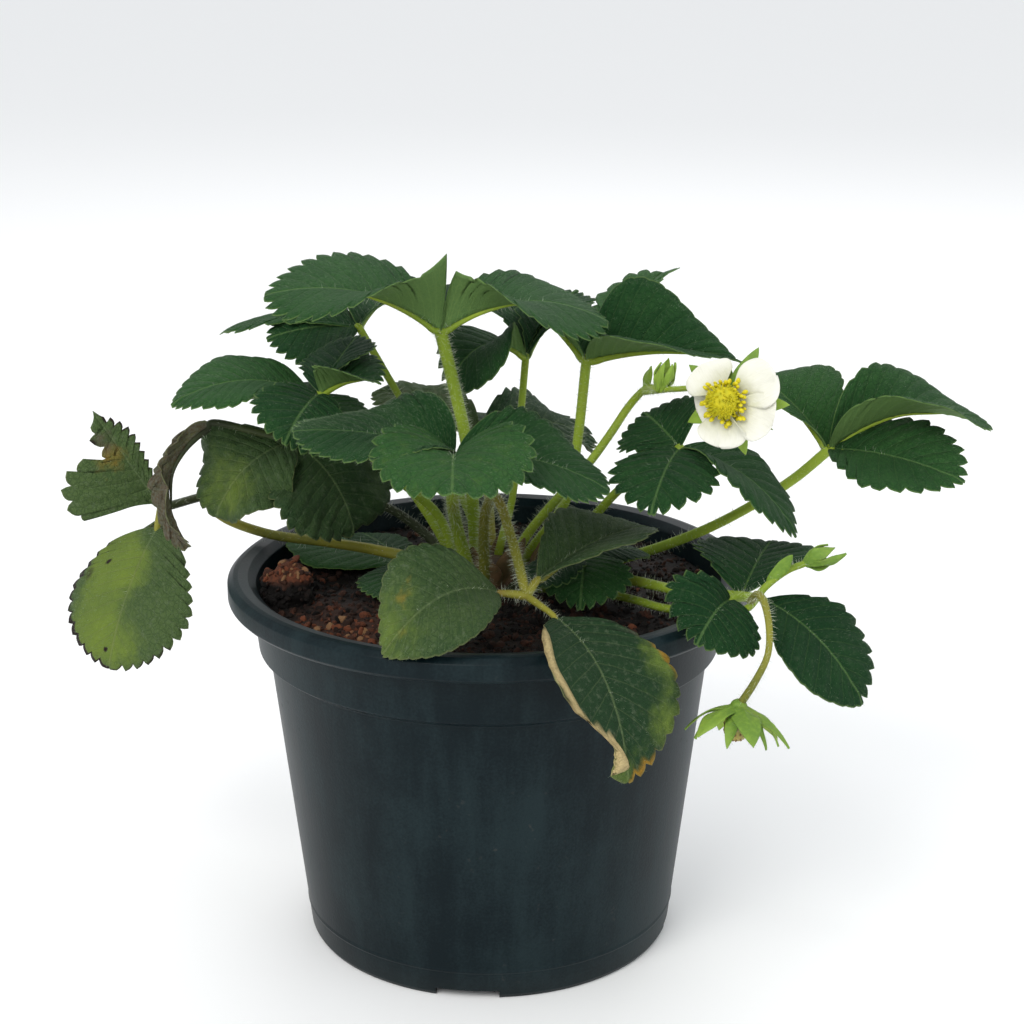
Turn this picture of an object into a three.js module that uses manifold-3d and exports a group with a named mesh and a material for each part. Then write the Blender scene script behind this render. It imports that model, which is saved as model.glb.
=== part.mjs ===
// A strawberry plant in a round nursery pot, in millimetres, +Z up.
// The origin is the centre of the pot's foot, on the surface that the pot stands on.
// -Y is the front, where the lowest old leaf hangs over the rim.
//
// The pot is a thin plastic shell with a rolled lip, a wide collar and a notched foot.
// It is filled with soil, and the crown stands in a hole in the soil. Each leaf is one
// solid: a stalk that stands in a socket of the crown, and three toothed leaflets.

import * as THREE from "three";
import { mergeVertices } from "three/addons/utils/BufferGeometryUtils.js";
import Module from "manifold-3d";

const wasm = await Module();
wasm.setup();

// ---------------------------------------------------------------- driving dimensions

const pot = {
  height: 110,
  lipRadius: 75, // outside of the rolled lip
  lipDepth: 7.3,
  collarRadius: 68.2, // outside, just under the lip
  collarFoot: 87.5, // height at which the collar steps in to the wall
  wallTop: 63.6, // outside radius under the collar
  footRadius: 53,
  wall: 1.4,
  footDepth: 3, // the floor's drained ring stands this far above the ground
  padRadius: 14, // the middle of the floor stands on the ground, like the foot
  notches: 4,
  notchWidth: 18,
  notchTurn: -97, // degrees, where the front notch lies
  drains: 6,
  drainRadius: 4,
  drainRing: 33,
  segments: 32,
};

const soilTop = 101.5; // at the wall
const fitGap = 0.35; // between solids that touch
const crown = { x: 0, y: 4, radius: 12.5, foot: 90, top: 110 };
const bladeThickness = 0.7;
const teeth = 6; // on each side of a leaflet, besides the one at its tip
const stemSides = 5;

// ---------------------------------------------------------------- shape helpers

const radians = THREE.MathUtils.degToRad;
const vector = (p) => new THREE.Vector3(...p);

// A closed geometry as a manifold solid.
function solid(geometry) {
  const bare = geometry.clone();
  for (const name of Object.keys(bare.attributes))
    if (name !== "position") bare.deleteAttribute(name);
  const merged = mergeVertices(bare, 1e-4);
  const made = new wasm.Manifold(
    new wasm.Mesh({
      numProp: 3,
      vertProperties: new Float32Array(merged.attributes.position.array),
      triVerts: new Uint32Array(merged.index.array),
    }),
  );
  if (made.volume() > 0) return made;
  const turned = new Uint32Array(merged.index.array);
  for (let i = 0; i < turned.length; i += 3)
    [turned[i + 1], turned[i + 2]] = [turned[i + 2], turned[i + 1]];
  return new wasm.Manifold(
    new wasm.Mesh({
      numProp: 3,
      vertProperties: new Float32Array(merged.attributes.position.array),
      triVerts: turned,
    }),
  );
}

// A manifold solid as a BufferGeometry, keeping its largest body.
function geometryOf(made) {
  const bodies = made.simplify(0.08).decompose();
  const mesh = bodies.sort((a, b) => b.volume() - a.volume())[0].getMesh();
  const geometry = new THREE.BufferGeometry();
  const places = new Float32Array(mesh.numVert * 3);
  for (let i = 0; i < mesh.numVert; i++)
    for (let k = 0; k < 3; k++)
      places[3 * i + k] = mesh.vertProperties[i * mesh.numProp + k];
  geometry.setAttribute("position", new THREE.BufferAttribute(places, 3));
  geometry.setIndex(new THREE.BufferAttribute(mesh.triVerts, 1));
  geometry.computeVertexNormals();
  return geometry;
}

const joined = (solids) => solids.reduce((a, b) => a.add(b));

// A solid of revolution about Z, from a closed profile of [radius, height] points.
function lathe(profile, segments) {
  const points = profile.map(([r, z]) => new THREE.Vector2(r, z));
  return new THREE.LatheGeometry(points, segments).rotateX(Math.PI / 2);
}

// A round bar of one radius along a smooth curve through the points.
function bar(points, radius, sides = stemSides, step = 13) {
  const path = new THREE.CatmullRomCurve3(points.map(vector), false, "centripetal");
  const section = new THREE.Shape();
  for (let i = 0; i < sides; i++) {
    const a = (2 * Math.PI * i) / sides;
    if (i === 0) section.moveTo(radius, 0);
    else section.lineTo(radius * Math.cos(a), radius * Math.sin(a));
  }
  return new THREE.ExtrudeGeometry(section, {
    steps: Math.max(2, Math.round(path.getLength() / step)),
    extrudePath: path,
    bevelEnabled: false,
  });
}

const ball = (centre, radius, detail = 0) =>
  solid(new THREE.IcosahedronGeometry(radius, detail).translate(...centre));

// ---------------------------------------------------------------- a toothed leaflet

// The smooth margin at s from 0, the base, to 1, the tip: [share of length, share of half width].
// A low belly puts the widest place near the base, and a low blunt gives broad shoulders.
function margin(s, belly, blunt) {
  const u = Math.min(0.9999, Math.max(0.0001, 0.5 - 0.5 * Math.cos(Math.PI * s)));
  return [u, Math.pow(Math.sin(Math.PI * Math.pow(u, belly)), blunt)];
}

// A smooth blend of three values, for the base, the middle and the tip.
const blend = ([a, b, c], u) => a * (1 - u) ** 2 + 2 * b * u * (1 - u) + c * u * u;

// The surface of one leaflet as a function of x along the midrib and y to its left.
// roll turns the blade about its midrib, right side down, and twist adds to it from base to tip.
// left and right give how far each half lifts off the blade, in degrees, from base to tip.
// curl bends each half further up towards its margin, arch raises the midrib, bow swings it left.
function bladeSurface(base, blade) {
  const { tip, width, arch = 0, bow = 0, roll = 0, twist = 0 } = blade;
  const { left = [8, 4, 0], right = [8, 4, 0], curl = 0, wave = 0.6 } = blade;
  const root = vector(base);
  const along = vector(tip).sub(root);
  const length = along.length();
  along.normalize();
  const up = new THREE.Vector3(0, 0, 1).addScaledVector(along, -along.z).normalize();
  const facing = (turn) => up.clone().applyAxisAngle(along, radians(turn));
  const rise = facing(roll);
  const sidle = rise.clone().cross(along);
  const half = width / 2;
  const bend = radians(curl || 0.01) / half;
  const at = (x, y) => {
    const u = x / length;
    const lift = radians(blend(y < 0 ? right : left, u));
    const normal = facing(roll + twist * (u - 0.5));
    const leftward = normal.clone().cross(along);
    const r = Math.abs(y);
    const out = (Math.sin(lift + bend * r) - Math.sin(lift)) / bend;
    const ruffle = wave * Math.sin(7 * u + (y < 0 ? 2 : 0)) * (r / half) ** 2;
    const high = (Math.cos(lift) - Math.cos(lift + bend * r)) / bend + ruffle;
    return root
      .clone()
      .addScaledVector(along, x)
      .addScaledVector(rise, 4 * arch * u * (1 - u))
      .addScaledVector(sidle, 4 * bow * u * (1 - u))
      .addScaledVector(leftward, Math.sign(y) * out)
      .addScaledVector(normal, high);
  };
  return { at, length, half };
}

// The flat points of one side of a leaflet: its midrib, shoulder, notches and teeth.
function bladeSide(length, half, side, belly, blunt) {
  const first = 0.3;
  const last = 0.93;
  const gap = (last - first) / teeth;
  const place = (s, inward) => {
    const [u, w] = margin(s, belly, blunt);
    const [u2, w2] = margin(s + 0.01, belly, blunt);
    const t = new THREE.Vector2((u2 - u) * length, (w2 - w) * half).normalize();
    return [u * length + inward * t.y, side * Math.max(0.5, w * half - inward * t.x)];
  };
  const depth = 0.085 * (half + 6);
  const notch = [place(first, 0)];
  const tooth = [];
  const rib = [];
  for (let i = 1; i <= teeth; i++) {
    const t = place(first + gap * (i - 0.2), 0);
    const x = length * (0.05 + 0.8 * Math.pow((i - 0.5) / teeth, 1.1));
    tooth.push(t);
    notch.push(place(first + gap * i, depth));
    rib.push([x, 0]);
  }
  return { shoulder: place(0.15, 0), notch, tooth, rib };
}

// One leaflet as a closed thin solid, split alike on its two faces.
function leaflet(base, blade) {
  const { at, length, half } = bladeSurface(base, blade);
  const { belly = 1.15, blunt = 0.65 } = blade;
  const flat = [];
  const add = (p) => flat.push(p) - 1;
  const root = add([0, 0]);
  const tip = add([length * 1.01, 0]);
  const sideOf = (side) => {
    const s = bladeSide(length, half, side, belly, blunt);
    return {
      heel: add([0, side * 1.1]),
      shoulder: add(s.shoulder),
      notch: s.notch.map(add),
      tooth: s.tooth.map(add),
    };
  };
  const rib = bladeSide(length, half, 1, belly, blunt).rib.map(add);
  const faces = [];
  const rim = [];
  for (const side of [1, -1]) {
    const s = sideOf(side);
    const face = (a, b, c) => faces.push(side > 0 ? [a, c, b] : [a, b, c]);
    face(root, s.heel, s.shoulder);
    face(root, s.shoulder, rib[0]);
    face(rib[0], s.shoulder, s.notch[0]);
    for (let i = 0; i < teeth; i++) {
      face(rib[i], s.notch[i], s.tooth[i]);
      face(rib[i], s.tooth[i], s.notch[i + 1]);
      if (i + 1 < teeth) face(rib[i], s.notch[i + 1], rib[i + 1]);
      else face(rib[i], s.notch[i + 1], tip);
    }
    const edge = [root, s.heel, s.shoulder, s.notch[0]];
    for (let i = 0; i < teeth; i++) edge.push(s.tooth[i], s.notch[i + 1]);
    edge.push(tip);
    rim.push(...(side > 0 ? edge.reverse().slice(0, -1) : edge.slice(0, -1)));
  }
  // The rim runs tip to root on the left, then root to tip on the right.
  const count = flat.length;
  const places = [];
  for (const face of [0.5, -0.5])
    for (const [x, y] of flat) {
      const here = at(x, y);
      const dx = at(x + 0.5, y).sub(at(x - 0.5, y));
      const dy = at(x, y + 0.5).sub(at(x, y - 0.5));
      const normal = dx.cross(dy).normalize();
      places.push(...here.addScaledVector(normal, face * bladeThickness).toArray());
    }
  const index = [];
  for (const [a, b, c] of faces) {
    index.push(a, b, c);
    index.push(count + a, count + c, count + b);
  }
  rim.forEach((a, i) => {
    const b = rim[(i + 1) % rim.length];
    index.push(a, count + a, b, b, count + a, count + b);
  });
  const geometry = new THREE.BufferGeometry();
  geometry.setAttribute("position", new THREE.Float32BufferAttribute(places, 3));
  geometry.setIndex(index);
  return solid(geometry);
}

// ---------------------------------------------------------------- leaves

// Each leaf: a stalk through these points, from its socket in the crown to the knot where
// three leaflets meet, and the leaflets. A leaflet with a stalk of its own starts at from.
const leaves = {
  tall_left: {
    stem: [[-3, 1, 103], [-4, 0, 121], [-6, -3, 146], [-10, -7, 167], [-13, -10, 181]],
    radius: 1.8,
    blades: [
      { tip: [-60.5, -15, 192], width: 43, arch: 7, roll: -20, left: [100, 15, -5], right: [25, 0, 0], blunt: 0.5 },
      { tip: [33, -12, 184], width: 42, arch: 7, roll: 0, left: [45, 12, 0], right: [95, -10, -25], blunt: 0.5 },
      { tip: [-12, 36, 192], width: 18, arch: 1, left: [60, 40, 20], right: [60, 40, 20] },
    ],
  },
  back_middle: {
    stem: [[1, 8, 103], [4, 10, 115], [7, 12, 127], [9, 18, 145], [11, 24, 166]],
    radius: 1.1,
    blades: [
      { tip: [-12, 9, 160], width: 32, arch: 9, roll: -10, twist: -50, left: [60, 30, 0], right: [40, 0, -10] },
      { tip: [27, 50, 173], width: 30, arch: 2, left: [40, 15, 0], right: [40, 15, 0] },
      { tip: [10, 66, 169], width: 30, arch: 2, left: [40, 15, 0], right: [40, 15, 0] },
    ],
  },
  tall_right: {
    stem: [[4, 3, 103], [14, 5, 115], [22, 6, 127], [25, 6.5, 141], [28, 8, 169]],
    radius: 1.5,
    blades: [
      { tip: [6, 30, 184], width: 34, arch: 2, left: [60, 30, 10], right: [40, 10, 0] },
      { tip: [71, -5, 171], width: 42, arch: 3, roll: 0, left: [85, 75, 20], right: [35, 30, 0], belly: 0.75, blunt: 0.85 },
      { tip: [53, 45, 187], width: 26, arch: 2, roll: 0, left: [10, 0, 10], right: [60, 50, 30] },
    ],
  },
  upper_left: {
    stem: [[-3, 8, 103], [-5, 9, 121], [-14, 11, 138], [-25, 13, 156], [-37, 15, 177]],
    radius: 1.1,
    blades: [
      { tip: [-63, 10, 174.5], width: 30, arch: 2, roll: -28 },
      { tip: [-78, 40, 170], width: 36, arch: 5, roll: 0, left: [5, 0, 0], right: [5, 0, 0] },
      { tip: [-27, 46, 180], width: 26, arch: 2, left: [50, 20, 0], right: [50, 20, 0] },
    ],
  },
  left: {
    stem: [[-7.5, 1, 102], [-14, -2, 125], [-26, -6, 138], [-40, -12, 154], [-46, -15, 165]],
    radius: 1.3,
    blades: [
      { tip: [-36, 0, 178], width: 27, arch: 1, left: [20, 0, -10], right: [50, 30, 10] },
      { tip: [-29, -23, 170], width: 30, arch: 2, roll: -5, left: [60, 30, 10], right: [50, 30, 10] },
      { tip: [-54, -37, 156.5], width: 28, arch: 2, roll: 0, left: [0, -40, -50], right: [40, 30, 10] },
    ],
  },
  front: {
    stem: [[-4, -3, 102], [-9, -10, 125], [-10, -20, 136], [-9, -38, 153]],
    radius: 1.8,
    blades: [
      { tip: [-51, -45, 162], width: 42, arch: 3, roll: -8, left: [35, 8, -5], right: [80, -30, 0], belly: 0.95, blunt: 0.45 },
      { tip: [-9, -78, 155.5], width: 43, arch: 4, left: [50, 20, -20], right: [50, 20, -20], blunt: 0.5 },
      { tip: [32, -45, 145.5], width: 38, arch: 4, roll: 0, left: [85, 10, 0], right: [30, 0, -10], blunt: 0.5 },
    ],
  },
  right: {
    stem: [[8, 7, 103], [22, 2, 114], [31, -4, 127], [38, -8, 136], [53, -15, 149]],
    radius: 1.3,
    blades: [
      { tip: [43, -43, 138.5], width: 31, arch: 3, roll: 0 },
      { tip: [43.5, -1, 156], width: 28, arch: 1, roll: -25, left: [10, 0, 0], right: [40, 10, 0] },
      { tip: [84, -32, 128.5], width: 34, arch: 5, roll: -5, left: [30, 0, 0], right: [30, 10, 0] },
    ],
  },
  far_right: {
    stem: [[9.5, 3, 102], [21, 2, 108], [39, 0, 112], [63, -3, 122], [85, -5, 136], [96, -6, 146]],
    radius: 1.5,
    blades: [
      { tip: [78, 18, 161.5], width: 34, arch: 3, roll: -20, left: [70, 40, 10], right: [50, 20, 0] },
      { tip: [140.7, -10, 153], width: 36, arch: 8, roll: 5, left: [100, 15, 0], right: [40, 25, 10], belly: 0.95, blunt: 0.5 },
      { tip: [128, -34, 144.5], width: 36, arch: 3, roll: 25, left: [20, 0, 0], right: [30, 15, 10] },
    ],
  },
  low_right: {
    stem: [[7, -1.5, 102], [20, -8, 108.5], [36, -15, 111], [53.5, -29, 112], [68, -42, 115]],
    radius: 1.5,
    blades: [
      { from: [64.5, -46.5, 115.8], tip: [54, -63, 109], width: 38, arch: 3, roll: -10, left: [0, -25, -25], right: [40, 15, 0], blunt: 0.9 },
      { tip: [80, -14, 122], width: 38, arch: 2, roll: 0, left: [30, 15, 5], right: [30, 15, 5] },
      { from: [73.5, -44, 115], tip: [98.5, -62, 91.5], width: 36, arch: 5, roll: 15, left: [40, 10, 0], right: [60, 25, 0], belly: 0.85 },
    ],
  },
  old_front: {
    stem: [[-1, -6, 102], [-1, -14, 130], [2, -22, 137], [6, -35, 130], [10, -48, 117.5]],
    radius: 1.4,
    blades: [
      { from: [3, -50, 119], tip: [-29.5, -53, 105.6], width: 44, arch: 11, roll: -20, left: [50, 40, 20], right: [85, 35, 0], blunt: 0.5 },
      { from: [13, -45, 121], tip: [45, -14, 126], width: 30, arch: 3, roll: 0, left: [65, 35, 10], right: [25, 20, 10] },
      { from: [17, -57, 115], tip: [36.5, -91, 83], width: 37, arch: 11, roll: 0, left: [10, 0, 0], right: [20, 20, 20], blunt: 0.5 },
    ],
  },
  old_left: {
    stem: [
      [-9.5, 5, 102], [-20, 6.5, 109], [-32, 9, 111.5], [-46, 12, 113], [-67, 22, 113], [-79, 22, 118],
      [-83, 19, 124], [-81, 14, 131], [-71, 8, 139], [-56, 4, 146],
    ],
    radius: 1.5,
    blades: [
      { tip: [-77, -8, 127], width: 48, arch: 5, roll: -10, left: [0, 0, 0], right: [50, 10, 0], blunt: 0.5 },
      { tip: [-38, -6, 121], width: 44, arch: 5, roll: 10, left: [30, 10, 0], right: [0, 0, 0], blunt: 0.5 },
      { from: [-79, 2, 152], tip: [-84, -14, 120], width: 16, arch: 9, roll: 50 },
    ],
  },
  far_left: {
    stem: [[-5, 12.5, 102], [-30, 30, 118], [-57, 38, 122], [-77, 33, 123], [-96, 15, 123]],
    radius: 1.3,
    blades: [
      { tip: [-120, 12, 149], width: 31, arch: 0, roll: -75, belly: 0.95, blunt: 0.5 },
      { from: [-97, 12, 118], tip: [-110, -7, 81], width: 40, arch: 3, roll: 0, left: [0, 0, 0], right: [0, 0, 0] },
      { from: [-97, 18, 119], tip: [-110, 28, 84], width: 26, arch: 3, roll: 0 },
    ],
  },
  old_back: {
    stem: [[1, 13, 102], [0, 28, 122], [-3, 45, 138]],
    radius: 1.4,
    blades: [
      { tip: [34, 58, 131], width: 38, arch: 9, roll: 10, left: [60, 20, 0], right: [20, 0, 0] },
      { tip: [-36, 55, 148], width: 30, arch: 3, roll: -5, left: [10, 0, 0], right: [40, 10, 0] },
      { tip: [4, 92, 124], width: 38, arch: 6, roll: 0 },
    ],
  },
  low_left: {
    stem: [[-8.5, 9.5, 102], [-16, 16, 104], [-25, 18, 105.2]],
    radius: 1.1,
    blades: [
      { tip: [-61, 27, 108.5], width: 28, arch: 0.5, left: [0, 0, 0], right: [0, 0, 0] },
      { tip: [-40, 44, 106], width: 22, arch: 1, left: [0, 0, 0], right: [0, 0, 0] },
      { tip: [-31, -14, 105], width: 20, arch: 1, roll: 0, left: [0, 0, 0], right: [0, 0, 0] },
    ],
  },
  low_front: {
    stem: [[3.5, -4.5, 102], [14, -8, 112], [28, -12, 117]],
    radius: 1,
    blades: [
      { tip: [25, -32, 107.5], width: 28, arch: 4, roll: 0 },
      { tip: [46, -9, 116], width: 17, arch: 2, roll: 0, left: [0, 0, 0], right: [0, 0, 0] },
      { tip: [9, -29, 112], width: 18, arch: 2, roll: 0 },
    ],
  },
  side_left: {
    stem: [[-6.5, 4.5, 103], [-18, 6, 124], [-34, 6, 146], [-49, 2, 160]],
    radius: 1.2,
    blades: [
      { tip: [-88, -10, 160.5], width: 30, arch: 6, roll: -12, left: [30, 10, 0], right: [30, 10, 0] },
      { tip: [-64, 34, 150], width: 30, arch: 4, roll: 0 },
      { tip: [-36, -6, 150], width: 24, arch: 2, roll: 0 },
    ],
  },
};

function leafSolid({ stem, radius, blades }) {
  const knot = stem[stem.length - 1];
  const parts = [solid(bar(stem, radius)), ball(knot, radius * 1.3)];
  for (const blade of blades) {
    const { from = knot, tip } = blade;
    parts.push(leaflet(from, blade));
    if (from === knot) continue;
    const onward = vector(from).lerp(vector(tip), 0.06).toArray();
    parts.push(solid(bar([knot, from, onward], radius * 0.7, 5, 3)));
    parts.push(ball(from, radius * 0.9));
  }
  return joined(parts);
}

// ---------------------------------------------------------------- pot, soil and crown

function potSolid() {
  const p = pot;
  const t = p.wall;
  const lipFoot = p.height - p.lipDepth;
  const profile = [
    [0, 0],
    [p.padRadius, 0],
    [p.padRadius + 2.5, p.footDepth],
    [p.footRadius - 3, p.footDepth],
    [p.footRadius - 2, 0],
    [p.footRadius, 0],
    [p.footRadius + 0.8, 1.4],
    [p.wallTop, p.collarFoot - 1],
    [p.collarRadius - 1.6, p.collarFoot + 1],
    [p.collarRadius, lipFoot + 0.4],
    [p.lipRadius - 1.2, lipFoot],
    [p.lipRadius, lipFoot + 1.2],
    [p.lipRadius, p.height - 1.8],
    [p.lipRadius - 1.6, p.height - 0.3],
    [p.lipRadius - 3, p.height],
    [p.collarRadius + 1, p.height - 0.5],
    [p.collarRadius - t, p.height - 2.5],
    [p.collarRadius - 1.6 - t, p.collarFoot + 1],
    [p.wallTop - t, p.collarFoot - 1.6],
    [p.footRadius + 0.8 - t, p.footDepth + 3],
    [p.footRadius - 2, p.footDepth + t],
    [p.padRadius + 1.8, p.footDepth + t],
    [p.padRadius - 0.7, t],
    [0, t],
  ];
  let made = solid(lathe(profile, p.segments));
  for (let i = 0; i < p.notches; i++) {
    const turn = radians(p.notchTurn + (360 / p.notches) * i);
    const cut = new THREE.BoxGeometry(14, p.notchWidth, 2 * 2.6)
      .translate(p.footRadius + 2, 0, 0)
      .rotateZ(turn);
    made = made.subtract(solid(cut));
  }
  for (let i = 0; i < p.drains; i++) {
    const turn = (2 * Math.PI * i) / p.drains;
    const hole = new THREE.CylinderGeometry(p.drainRadius, p.drainRadius, 8, 8)
      .rotateX(Math.PI / 2)
      .translate(p.drainRing * Math.cos(turn), p.drainRing * Math.sin(turn), p.footDepth);
    made = made.subtract(solid(hole));
  }
  return made;
}

// Lumps in the soil's top, as a height over the place.
const lumps = (x, y) =>
  0.9 * Math.sin(0.21 * x + 1.3) * Math.cos(0.17 * y) + 0.6 * Math.sin(0.43 * x - 0.37 * y);

const soilProfile = [
  [0, pot.wall + fitGap],
  [pot.padRadius - 1, pot.wall + fitGap],
  [pot.padRadius + 1.5, pot.footDepth + pot.wall + fitGap],
  [pot.footRadius - 2.4, pot.footDepth + pot.wall + fitGap],
  [pot.footRadius + 0.8 - pot.wall - fitGap, pot.footDepth + 3.2],
  [pot.wallTop - pot.wall - fitGap, pot.collarFoot - 1.5],
  [pot.collarRadius - 1.6 - pot.wall - fitGap, pot.collarFoot + 1.2],
  [pot.collarRadius - 0.35 - pot.wall - fitGap, soilTop],
];

function soilSolid() {
  const heap = [52, 34, 0].map((r) => [r, soilTop + 1.6 - r * 0.015]);
  const geometry = lathe([...soilProfile, ...heap], pot.segments);
  const place = geometry.attributes.position;
  for (let i = 0; i < place.count; i++) {
    const [x, y, z] = [place.getX(i), place.getY(i), place.getZ(i)];
    const reach = Math.hypot(x, y) / 66;
    if (z > soilTop + 0.1) place.setZ(i, z + lumps(x, y) * (1 - reach * reach));
  }
  return solid(geometry).add(clod());
}

// A dry lump that lies on the soil near the left of the rim.
const clod = () =>
  solid(new THREE.IcosahedronGeometry(1, 1).scale(7, 6, 5).rotateZ(0.3).translate(-50, -14, 102.5));

function crownShape(grow) {
  const { x, y, radius, foot, top } = crown;
  const r = radius + grow;
  const profile = [
    [0, foot - grow],
    [r * 0.5, foot - grow],
    [r * 0.85, foot + 6],
    [r, foot + 12],
    [r * 0.88, top - 3 + grow],
    [r * 0.6, top + grow * 0.8],
    [0, top + 1 + grow],
  ];
  return solid(lathe(profile, 10).translate(x, y, 0));
}

// ---------------------------------------------------------------- flower and fruit stalks

// A thin lobed cup about an axis, such as a calyx or a ring of petals. For each lobe, outline
// gives points [share of the lobe's width, radius, height along the axis], and every point has
// a twin part of the way in, at the given share of its radius and height.
function rosette({ centre, axis, count, outline, inner, turn = 0, thickness = 0.7 }) {
  const main = vector(axis).normalize();
  const across = new THREE.Vector3(0, 0, 1).cross(main).normalize();
  const upward = main.clone().cross(across);
  const ring = [];
  for (let i = 0; i < count; i++)
    for (const [share, radius, height] of outline) {
      const a = radians(turn + (360 / count) * (i + share));
      ring.push([radius * Math.cos(a), radius * Math.sin(a), height]);
    }
  const total = ring.length;
  const nodes = [...ring, ...ring.map(([x, y, z]) => [x * inner[0], y * inner[0], z * inner[1]]), [0, 0, 0]];
  const place = ([x, y, z], lift) =>
    vector(centre)
      .addScaledVector(across, x)
      .addScaledVector(upward, y)
      .addScaledVector(main, z + lift)
      .toArray();
  const places = [0.5, -0.5].flatMap((side) => nodes.flatMap((n) => place(n, side * thickness)));
  const low = nodes.length;
  const index = [];
  for (let i = 0; i < total; i++) {
    const j = (i + 1) % total;
    const tops = [[total + i, i, j], [total + i, j, total + j], [2 * total, total + i, total + j]];
    for (const [a, b, c] of tops) index.push(a, b, c, low + a, low + c, low + b);
    index.push(i, low + i, j, j, low + i, low + j);
  }
  const geometry = new THREE.BufferGeometry();
  geometry.setAttribute("position", new THREE.Float32BufferAttribute(places, 3));
  geometry.setIndex(index);
  return solid(geometry);
}

const onward = (base, axis, d) =>
  vector(base).addScaledVector(vector(axis).normalize(), d).toArray();

const sepals = (centre, axis, count, reach, rise, waist = 3.2) =>
  rosette({
    centre, axis, count, inner: [0.6, 0.5],
    outline: [[0, waist, rise * 0.25], [0.5, reach, rise]],
  });

const flower = { centre: [62.5, -38, 168], axis: [-0.45, -0.87, 0.2] };

const flowerStalk = () => {
  const back = onward(flower.centre, flower.axis, -4);
  return joined([
    solid(bar([[4, -1, 104], [10, 1, 117], [18, 0, 128], [29, 0, 141], [35, 2, 149], [40, 3, 156.5], [44, -2, 162.5], [47, -14, 165.5]], 1.3)),
    solid(bar([[44, -3, 162], [51, -20, 167], [57.5, -31, 169.5], back], 0.9, 5, 5)),
    sepals([47, -14, 165], [0.2, 0, 1], 5, 4.6, 10, 3.2),
    ball([47.2, -14, 167], 3, 0),
    sepals(back, flower.axis, 10, 12.5, 2.5),
    ball(back, 2, 0),
  ]);
};

const petals = () =>
  rosette({
    centre: onward(flower.centre, flower.axis, -1.4), axis: flower.axis, count: 5, turn: 18,
    inner: [0.5, 0.4],
    outline: [
      [0, 9.5, 0.4], [0.08, 12, 1.2], [0.28, 14, 1.8], [0.5, 14.5, 2], [0.72, 14, 1.8], [0.92, 12, 1.2],
    ],
  });

const heart = () => ball(onward(flower.centre, flower.axis, 3.9), 4.6, 1);

const fruit = { centre: [65, -67, 93.5], axis: [-0.1, -0.25, -1] };

const fruitStalk = () =>
  joined([
    solid(bar([[9.5, 0, 102], [21, -5, 104.8], [38, -17, 106], [50, -31, 107.5], [58, -39.5, 111.7], [64, -46.5, 111.7], [69, -49.5, 114.5], [73, -49.5, 120], [79, -48.5, 124.5], [84, -47, 126]], 1.2)),
    solid(bar([[69.5, -49, 116], [70.5, -56, 120.5], [71.5, -62, 120], [72.3, -66, 115], [72, -67.5, 108], [69, -68, 101], fruit.centre], 1, 5, 6)),
    sepals(fruit.centre, fruit.axis, 10, 15, 6, 5.2),
    ball(fruit.centre, 2, 0),
    sepals([84, -47, 126], [0.9, 0, 0.4], 5, 4, 9, 3),
    ball([85.6, -47, 126.7], 2.6, 0),
  ]);

const youngFruit = () =>
  solid(
    new THREE.IcosahedronGeometry(3, 1)
      .scale(1, 1, 1.15)
      .translate(...onward(fruit.centre, fruit.axis, 5.6)),
  );

// ---------------------------------------------------------------- the whole plant

const plant = new THREE.Group();

function piece(name, made, color, roughness = 0.6) {
  const material = new THREE.MeshStandardMaterial({ color, roughness, metalness: 0 });
  const mesh = new THREE.Mesh(geometryOf(made), material);
  mesh.name = name;
  plant.add(mesh);
}

const roots = [
  ...Object.values(leaves).map((leaf) => [leaf.stem, leaf.radius]),
  [[[4, -1, 104], [10, 1, 117], [18, 0, 128]], 1.3],
  [[[9.5, 0, 102], [21, -5, 104.8], [38, -17, 106]], 1.2],
];

function cleared(made) {
  return roots.reduce((left, [stem, radius]) => left.subtract(solid(bar(stem, radius + fitGap))), made);
}

piece("pot", potSolid(), 0x1d2a30, 0.55);
piece("soil", cleared(soilSolid().subtract(crownShape(fitGap))), 0x4a2a1e, 1);
piece("crown", cleared(crownShape(0)), 0x5d4a2c, 0.9);
for (const [name, leaf] of Object.entries(leaves))
  piece("leaf_" + name, leafSolid(leaf), name.includes("old") ? 0x4c5a2e : 0x27502f, 0.6);
piece("flower_stalk", flowerStalk(), 0x7f9a3a, 0.6);
piece("flower_petals", petals(), 0xf4f1e6, 0.6);
piece("flower_heart", heart(), 0xd8c81e, 0.8);
piece("fruit_stalk", fruitStalk(), 0x86a83c, 0.6);
piece("young_fruit", youngFruit(), 0xb8a03a, 0.7);

export default plant;
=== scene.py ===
# Potted strawberry plant. The tables are in millimetres, and Blender's objects in metres.
# +Z is up and -Y is the front, where the oldest leaf hangs over the pot's rim.
import math
import bpy
import numpy as np
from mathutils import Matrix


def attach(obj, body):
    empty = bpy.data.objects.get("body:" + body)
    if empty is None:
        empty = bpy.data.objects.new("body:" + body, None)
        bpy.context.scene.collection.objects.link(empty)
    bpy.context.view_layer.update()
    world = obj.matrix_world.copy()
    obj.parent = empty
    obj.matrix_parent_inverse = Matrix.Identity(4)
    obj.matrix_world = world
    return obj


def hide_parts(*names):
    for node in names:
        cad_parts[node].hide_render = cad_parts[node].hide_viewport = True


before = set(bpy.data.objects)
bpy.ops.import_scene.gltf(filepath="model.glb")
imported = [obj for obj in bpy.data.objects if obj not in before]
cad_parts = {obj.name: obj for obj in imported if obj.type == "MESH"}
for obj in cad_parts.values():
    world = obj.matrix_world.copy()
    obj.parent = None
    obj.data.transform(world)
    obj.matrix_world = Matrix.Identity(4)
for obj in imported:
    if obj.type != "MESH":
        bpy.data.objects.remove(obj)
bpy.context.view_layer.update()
mm = 0.001
scene = bpy.context.scene
print("frame loaded")


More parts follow.
